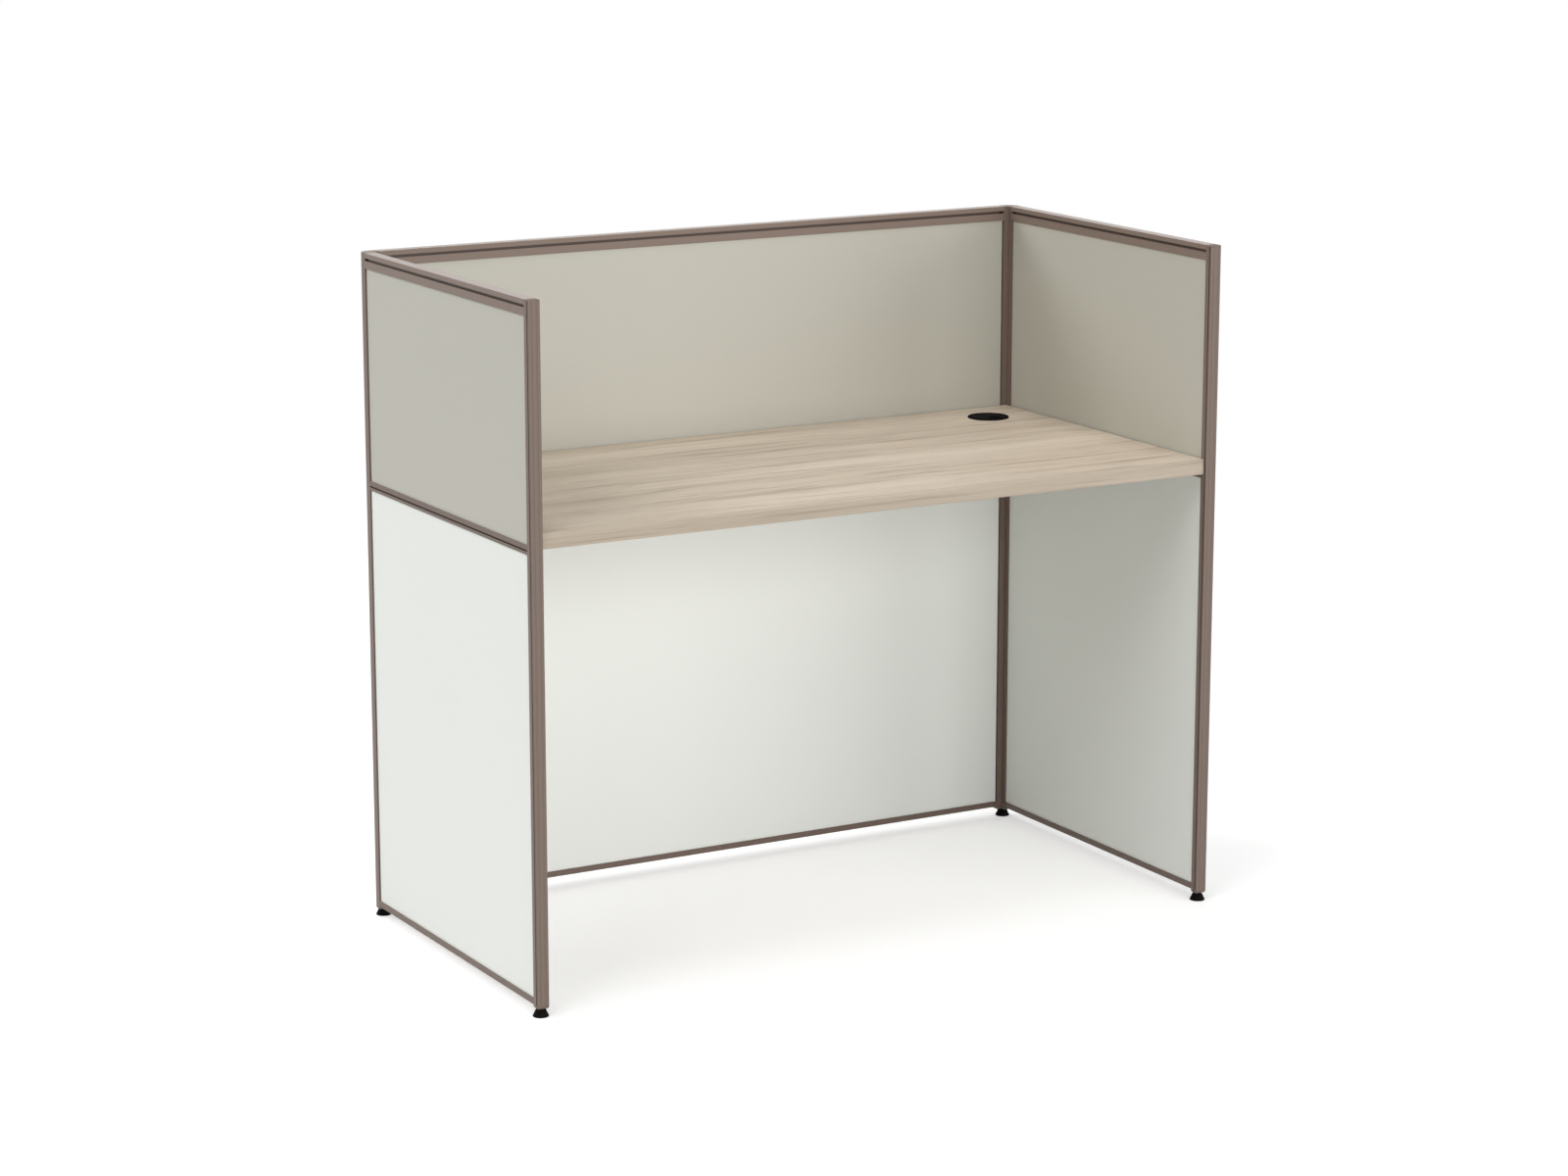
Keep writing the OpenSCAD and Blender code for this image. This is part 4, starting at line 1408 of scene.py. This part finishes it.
@dataclass
class CornerTrim(PostTrim):
    """The cap and shoe of a corner post."""

    back: float = 300 * MM
    leg: float = 10 * MM
    radius: float = 20 * MM
    axis_in: float = 4 * MM
    edge: float = 0.9 * MM
    chamfer: float = 2 * MM
    spigot_radius: float = 5.9 * MM
    arc_steps: int = 20

    def _plan(self, z: float) -> list[Triple]:
        """The L of the post at a height, its outer corner rounded.

        Args:
            z: The height.

        Returns:
            The outline's points.
        """
        reach = self.half + self.leg
        centre = (self.radius - self.half, self.half - self.radius)
        curve = arc(centre, self.radius, 180, 90, self.arc_steps)
        points = [(-self.half, -reach), *curve, (reach, self.half), (reach, -self.half)]
        points += [(self.half, -self.half), (self.half, -reach)]
        return [(self.wall + x, self.back + y, z) for x, y in points]

    def build(self) -> None:
        """Makes the four pieces."""
        axis = (self.wall + self.axis_in, self.back - self.axis_in)
        cap = self._plate("left_corner_cap_moulding", self.high, self.top)
        cap.round_edges(lambda at, _: at.z > self.top - MERGE, self.edge, 4)
        foot, head = self.high - self.spigot, self.high + self.overlap
        cap.combine(Workpiece.rod("spigot", self.spigot_radius, axis, foot, head), "UNION")
        shoe = self._plate("left_corner_shoe_moulding", self.lift, self.low)
        shoe.round_edges(lambda at, _: at.z < self.lift + MERGE, self.chamfer, 2)
        shoe.drill([axis], self.stem_radius, self.lift - MM, self.low + MM)
        cap.finish_pair(self.palette, Slot.CAP, "corner_cap")
        shoe.finish_pair(self.palette, Slot.CAP, "corner_shoe")

    def _plate(self, name: str, low: float, high: float) -> Workpiece:
        """A plate over the post's plan, between two heights."""
        return Workpiece.prism(name, self._plan(low), (0, 0, high - low))


@dataclass
class CablePort(Assembly):
    """The round cable port: a liner, a lid with a notch and a turning gate."""

    centre: Point = (505 * MM, 200 * MM)
    tube: float = 29.8 * MM
    flange: float = 35.5 * MM
    bore: float = 27 * MM
    pocket: float = 28.8 * MM
    seat: float = 32.3 * MM
    lid: float = 32 * MM
    gate: float = 28.2 * MM
    pin: float = 3 * MM
    pin_hole: float = 3.1 * MM
    foot: float = 728 * MM
    desk: float = 750 * MM
    top: float = 752.2 * MM
    lid_low: float = 750.6 * MM
    pocket_low: float = 747.6 * MM
    gate_low: float = 747.9 * MM
    gate_high: float = 750.1 * MM
    notch_inner: float = 9 * MM
    notch_half: float = 10 * MM
    notch_steps: int = 20
    soft: float = 0.5 * MM
    gate_soft: float = 0.3 * MM
    flange_round: float = 1.4 * MM
    ring: Point = (3.8 * MM, 2.6 * MM)
    ring_wall: float = 0.3 * MM
    ring_depth: float = 0.25 * MM
    hole_edge: float = 0.2 * MM
    arris: float = 0.15 * MM
    sharp: float = 50.0
    pin_dome: tuple[Point, ...] = ((0.0, 0.6 * MM), (0.2 * MM, 0.25 * MM), (0.7 * MM, 0.05 * MM))
    steps: int = 96

    def build(self) -> None:
        """Makes the three pieces."""
        self._ring().finish(self.palette, Slot.BLACK_PLASTIC, "port_liner")
        self._cover().finish(self.palette, Slot.BLACK_PLASTIC, "port_lid", body=Body.LID.value)
        self._shutter().finish(self.palette, Slot.BLACK_PLASTIC, "port_gate", body=Body.GATE.value)

    def _ring(self) -> Workpiece:
        """The liner with its rounded flange.

        Returns:
            The liner.
        """
        s, t = self.soft, self.top
        r = self.flange_round
        outer = arc((self.flange - r, t - r), r, 0, 90, 5)
        profile = [(self.tube, self.foot), (self.tube, self.desk), (self.flange, self.desk), *outer]
        profile += [
            (self.seat + s, t), (self.seat, t - s), (self.seat, self.lid_low),
            (self.pocket, self.lid_low), (self.pocket, self.pocket_low),
            (self.bore, self.pocket_low), (self.bore, self.foot + s),
            (self.bore + s, self.foot),
        ]
        return Workpiece.lathed("port_ring", profile, self.centre, self.steps, True)

    def _notch(self, low: float, high: float, turn: float) -> Workpiece:
        """A cutter for a notch with a round inner end, open at the rim.

        Args:
            low: The height of its underside.
            high: The height of its top.
            turn: How far it is turned from the front, in degrees.

        Returns:
            The cutter.
        """
        x, y = self.centre
        inner = self.notch_inner + self.notch_half
        outline = arc((0.0, -inner), self.notch_half, 0, 180, self.notch_steps)
        outline += [(-self.notch_half, -self.flange), (self.notch_half, -self.flange)]
        cutter = Workpiece.prism("notch", [(u, v, low) for u, v in outline], (0, 0, high - low))
        place = Matrix.Translation((x, y, 0)) @ Matrix.Rotation(math.radians(turn), 4, "Z")
        cutter.obj.data.transform(place)
        return cutter

    def _cover(self) -> Workpiece:
        """The lid, with a softened rim and a shallow ring.

        Returns:
            The lid.
        """
        s, t, h = self.soft, self.top, self.pin_hole
        wall, deep = self.ring_wall, self.ring_depth
        ring_in, ring_out = (self.lid - inset for inset in self.ring)
        profile = [(h, self.lid_low), (self.lid, self.lid_low), (self.lid, t - s), (self.lid - s, t)]
        profile += [
            (ring_out, t), (ring_out - wall, t - deep), (ring_in + wall, t - deep),
            (ring_in, t), (h + self.hole_edge, t), (h, t - self.hole_edge),
        ]
        cover = Workpiece.lathed("port_cover", profile, self.centre, self.steps, True)
        cover.combine(self._notch(self.lid_low - MM, t + MM, 0), "DIFFERENCE")
        limit = math.radians(self.sharp)
        cover.modify("BEVEL", width=self.arris, segments=2, limit_method="ANGLE", angle_limit=limit)
        return cover

    def _shutter(self) -> Workpiece:
        """The gate with the pin on which it turns.

        Returns:
            The gate.
        """
        low, high, s = self.gate_low, self.gate_high, self.gate_soft
        profile = [
            (0.0, low), (self.gate - s, low), (self.gate, low + s), (self.gate, high - s),
            (self.gate - s, high), (self.pin, high),
            *[(self.pin - inset, self.top - fall) for inset, fall in self.pin_dome],
            (0.0, self.top),
        ]
        shutter = Workpiece.lathed("port_shutter", profile, self.centre, self.steps, False)
        shutter.combine(self._notch(low - MM, high + MM, -90), "DIFFERENCE")
        return shutter


@dataclass
class LevellingFoot(Assembly):
    """A levelling foot: a moulded pad and the threaded screw that it holds."""

    corner: Corner
    x: float = 610 * MM
    y: float = 300 * MM
    rear_in: float = 4 * MM
    pad: float = 12.5 * MM
    pad_top: float = 8.5 * MM
    pad_height: float = 10.4 * MM
    pad_sides: int = 64
    flank_steps: int = 8
    rim: float = 1.6 * MM
    rim_soft: float = 0.6 * MM
    rim_middle: float = 0.18 * MM
    rim_cut: Point = (0.2 * MM, 0.4 * MM)
    mouth_soft: float = 0.5 * MM
    stem: float = 3 * MM
    stem_hole: float = 3.1 * MM
    journal: float = 4 * MM
    journal_hole: float = 4.1 * MM
    journal_low: float = 3.3 * MM
    journal_high: float = 7.9 * MM
    journal_soft: float = 0.4 * MM
    sag: float = 0.35 * MM
    cavity_low: float = 3 * MM
    cavity_high: float = 8.2 * MM
    hex_low: float = 10.7 * MM
    hex_high: float = 13.2 * MM
    hex_flats: float = 13 * MM
    hex_fall: float = 0.35 * MM
    hex_face: float = 0.1 * MM
    hex_over: float = 0.05 * MM
    hex_sides: int = 48
    screw_sides: int = 40
    screw_top: float = 43.2 * MM
    pitch: float = 1 * MM
    root: float = 2.42 * MM
    run_out: float = 1.5 * MM
    tip_root: float = 1.2 * MM
    tip_cut: float = 0.8 * MM
    thread_steps: int = 28

    @property
    def centre(self) -> Point:
        """The foot's axis in plan, further in at the rear.

        Returns:
            Its X and Y.
        """
        side, end = self.corner.value
        inset = self.rear_in if end > 0 else 0.0
        return side * (self.x - inset), end * (self.y - inset)

    def build(self) -> None:
        """Makes the pad and the screw."""
        rows = (
            (self._pad(), Slot.BLACK_PLASTIC, "pad"),
            (self._screw(), Slot.BLACK_SCREW, "screw"),
        )
        for piece, slot, part in rows:
            label = self.corner.label
            piece.finish(self.palette, slot, f"{label}_foot_{part}", body=f"{label}_{part}")

    def _pad(self) -> Workpiece:
        """The pad: a bell with a round rim, hollow for the screw's end.

        Returns:
            The pad.
        """
        flank = []
        for i in range(1, self.flank_steps):
            u = i / self.flank_steps
            radius = self.pad + (self.pad_top - self.pad) * u - self.sag * math.sin(math.pi * u)
            flank.append((radius, self.rim + (self.pad_height - self.rim) * u))
        middle, mouth = self.rim_middle, self.mouth_soft
        inset, fall = self.rim_cut
        profile = [
            (0.0, 0.0), (self.pad - self.rim_soft, 0.0), (self.pad - middle, middle),
            (self.pad, self.rim_soft), (self.pad, self.rim - fall), (self.pad - inset, self.rim),
            *flank, (self.pad_top, self.pad_height - mouth),
            (self.pad_top - mouth, self.pad_height), (self.stem_hole, self.pad_height),
            (self.stem_hole, self.cavity_high), (self.journal_hole, self.cavity_high),
            (self.journal_hole, self.cavity_low), (0.0, self.cavity_low),
        ]
        name = f"{self.corner.label}_pad_moulding"
        return Workpiece.lathed(name, profile, self.centre, self.pad_sides, False)

    def _screw(self) -> Workpiece:
        """The screw: a round end, a neck, a hexagon and a thread.

        Returns:
            The screw.
        """
        s = self.journal_soft
        profile = [
            (0.0, self.journal_low), (self.journal - s, self.journal_low),
            (self.journal, self.journal_low + s), (self.journal, self.journal_high - s),
            (self.journal - s, self.journal_high), (self.stem, self.journal_high),
            (self.stem, self.hex_low + MM), (0.0, self.hex_low + MM),
        ]
        name = f"{self.corner.label}_levelling_screw"
        screw = Workpiece.lathed(name, profile, self.centre, self.screw_sides, False)
        screw.joined([self._hexagon(), self._thread()])
        return screw

    def _hexagon(self) -> Workpiece:
        """The hexagon, its corners turned off as on a nut.

        Returns:
            The hexagon.
        """
        corner = self.hex_flats / math.sqrt(3)
        nut = Workpiece.rod("hexagon", corner, self.centre, self.hex_low, self.hex_high, 6)
        face, over = self.hex_flats / 2 - self.hex_face, corner + self.hex_over
        profile = [
            (0.0, self.hex_low), (face, self.hex_low), (over, self.hex_low + self.hex_fall),
            (over, self.hex_high - self.hex_fall), (face, self.hex_high), (0.0, self.hex_high),
        ]
        turned = Workpiece.lathed("turned", profile, self.centre, self.hex_sides, False)
        nut.combine(turned, "INTERSECT")
        return nut

    def _thread(self) -> Workpiece:
        """The thread: one pitch of its outline, swept up in a screw, and a tapered tip.

        Returns:
            The thread with its tip.
        """
        x, y = self.centre
        start = self.hex_high - self.pitch
        turns = round((self.screw_top - self.run_out - start) / self.pitch)
        crest = self.pitch / 8
        rise = (self.pitch - 2 * crest) / 2
        points = [
            (self.root, start), (self.root, start + crest),
            (self.stem, start + crest + rise), (self.stem, start + 2 * crest + rise),
            (self.root, start + self.pitch),
        ]
        thread = Workpiece.wire("thread", [(r, 0, z) for r, z in points], False)
        thread.modify(
            "SCREW",
            angle=math.tau,
            screw_offset=self.pitch,
            iterations=turns - 1,
            steps=self.thread_steps,
            render_steps=self.thread_steps,
            use_merge_vertices=True,
            merge_threshold=MERGE,
        )
        with thread.editing():
            bpy.ops.mesh.remove_doubles(threshold=MERGE)
            bpy.ops.mesh.select_all(action="SELECT")
            bpy.ops.mesh.fill_holes(sides=0)
            bpy.ops.mesh.select_all(action="SELECT")
            bpy.ops.mesh.normals_make_consistent(inside=False)
        thread.obj.data.transform(Matrix.Translation((x, y, 0)))
        foot = start + turns * self.pitch - self.tip_root
        profile = [
            (0.0, foot), (self.root, foot), (self.root, self.screw_top - self.tip_cut),
            (self.root - self.tip_cut, self.screw_top), (0.0, self.screw_top),
        ]
        thread.joined([Workpiece.lathed("tip", profile, self.centre, self.screw_sides, False)])
        return thread


# Studio


def outward(azimuth: float, elevation: float) -> Vector:
    """The direction out from the object: azimuth 0 in front of it, 90 on its right.

    Args:
        azimuth: The angle round the object, in degrees.
        elevation: The angle above the floor, in degrees.

    Returns:
        A vector one metre long.
    """
    turn, rise = math.radians(azimuth), math.radians(elevation)
    level = math.cos(rise)
    return Vector((level * math.sin(turn), -level * math.cos(turn), math.sin(rise)))


def hung(name: str, data: bpy.types.ID, place: Vector, way: Vector, axis: str) -> bpy.types.Object:
    """Adds a lamp or a camera at a place, one of its axes turned along a way.

    Args:
        name: Its name.
        data: The lamp's or the camera's data.
        place: Where it hangs.
        way: Where the axis points.
        axis: The axis's name.

    Returns:
        The object.
    """
    thing = bpy.data.objects.new(name, data)
    thing.location = place
    thing.rotation_mode = "QUATERNION"
    thing.rotation_quaternion = way.to_track_quat(axis, "Y")
    bpy.context.scene.collection.objects.link(thing)
    return thing


@dataclass(frozen=True)
class Lamp:
    """A large square softbox, far enough off to light the whole object evenly."""

    name: str
    azimuth: float
    elevation: float
    power: float
    distance: float = 14.0
    size: float = 7.0
    target: Triple = (0.0, 0.0, 0.6)

    def build(self) -> None:
        """Adds the lamp, which the camera doesn't see."""
        data = bpy.data.lights.new(self.name, "AREA")
        data.shape = "SQUARE"
        data.size = self.size
        data.energy = self.power
        out = outward(self.azimuth, self.elevation)
        lamp = hung(self.name, data, Vector(self.target) + out * self.distance, out, "Z")
        lamp.visible_camera = False


@dataclass
class Studio:
    """The camera, the lamps, the white surroundings and the floor."""

    eye: Triple = (-3.0948, -5.4254, 1.9328)
    yaw: float = 29.59
    pitch: float = 12.551
    lens: float = 90.005
    sensor: float = 36.0
    clip: float = 200.0
    ambient: float = 0.16
    floor_size: float = 16.0
    floor_colour: float = 0.78
    floor_lift: float = 0.44
    floor_fade: Point = (2.6, 5.0)
    lamps: tuple[Lamp, ...] = (
        Lamp("front_right_softbox", 35, 10, 560.0),
        Lamp("front_softbox", 0, 10, 755.0),
        Lamp("front_left_softbox", -65, 42, 560.0),
        Lamp("top_softbox", 0, 90, 640.0),
        Lamp("back_left_softbox", -135, 35, 830.0),
        Lamp("back_right_softbox", 150, 15, 180.0),
    )

    def build(self) -> None:
        """Sets the scene."""
        self._camera()
        self._world()
        self._floor()
        for lamp in self.lamps:
            lamp.build()
        bpy.context.scene.view_settings.view_transform = "Standard"

    def _camera(self) -> None:
        """The camera at the photograph's viewing angle."""
        data = bpy.data.cameras.new("camera")
        data.sensor_width = self.sensor
        data.lens = self.lens
        data.clip_end = self.clip
        look = -outward(-self.yaw, self.pitch)
        bpy.context.scene.camera = hung("camera", data, Vector(self.eye), look, "-Z")

    def _world(self) -> None:
        """A white world to look at and a dimmer one to light the object."""
        world = bpy.data.worlds.new("surroundings")
        sheet = Sheet(world)
        dim = sheet.white("ShaderNodeBackground", self.ambient)
        white = sheet.white("ShaderNodeBackground", 1.0)
        surface = sheet.blend(sheet.seen(), dim, white)
        sheet.add("ShaderNodeOutputWorld", {}, {"Surface": surface})
        bpy.context.scene.world = world

    def _floor(self) -> None:
        """A pale floor that keeps the shadow and, to the eye, runs out into white."""
        deselect()
        bpy.ops.mesh.primitive_plane_add(size=self.floor_size, location=(0, 0, 0))
        floor = bpy.context.active_object
        floor.name = "floor"
        material = bpy.data.materials.new("pale_floor")
        sheet = Sheet(material)
        seen = sheet.seen()
        pale = sheet.add("ShaderNodeBsdfDiffuse", {}, {"Color": (*[self.floor_colour] * 3, 1.0)})
        lift = sheet.white("ShaderNodeEmission", seen * self.floor_lift)
        near = sheet.add("ShaderNodeAddShader", {}, {0: pale.outputs[0], 1: lift.outputs[0]})
        far = sheet.white("ShaderNodeEmission", 1.0)
        place = sheet.add("ShaderNodeTexCoord").outputs["Object"]
        reach = sheet.add("ShaderNodeVectorMath", {"operation": "LENGTH"}, {0: place})
        away = Value(sheet, reach.outputs["Value"]).between(*self.floor_fade)
        surface = sheet.blend(away * seen, near, far)
        sheet.add("ShaderNodeOutputMaterial", {}, {"Surface": surface})
        floor.data.materials.append(material)


def main() -> None:
    """Loads the frame, dresses it and models the finer pieces."""
    logging.basicConfig(level=logging.INFO, format="%(message)s")
    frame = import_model()
    deselect()
    Studio().build()
    palette = Palette()
    palette.dress_cad(frame)
    supports = DeskSupports(palette)
    Desk(palette, screw_places=supports.all_places()).build()
    supports.build()
    for kind in (FrontPostTrim, CornerTrim, CablePort):
        kind(palette).build()
    for corner in Corner:
        LevellingFoot(palette, corner).build()


if __name__ == "__main__":
    main()
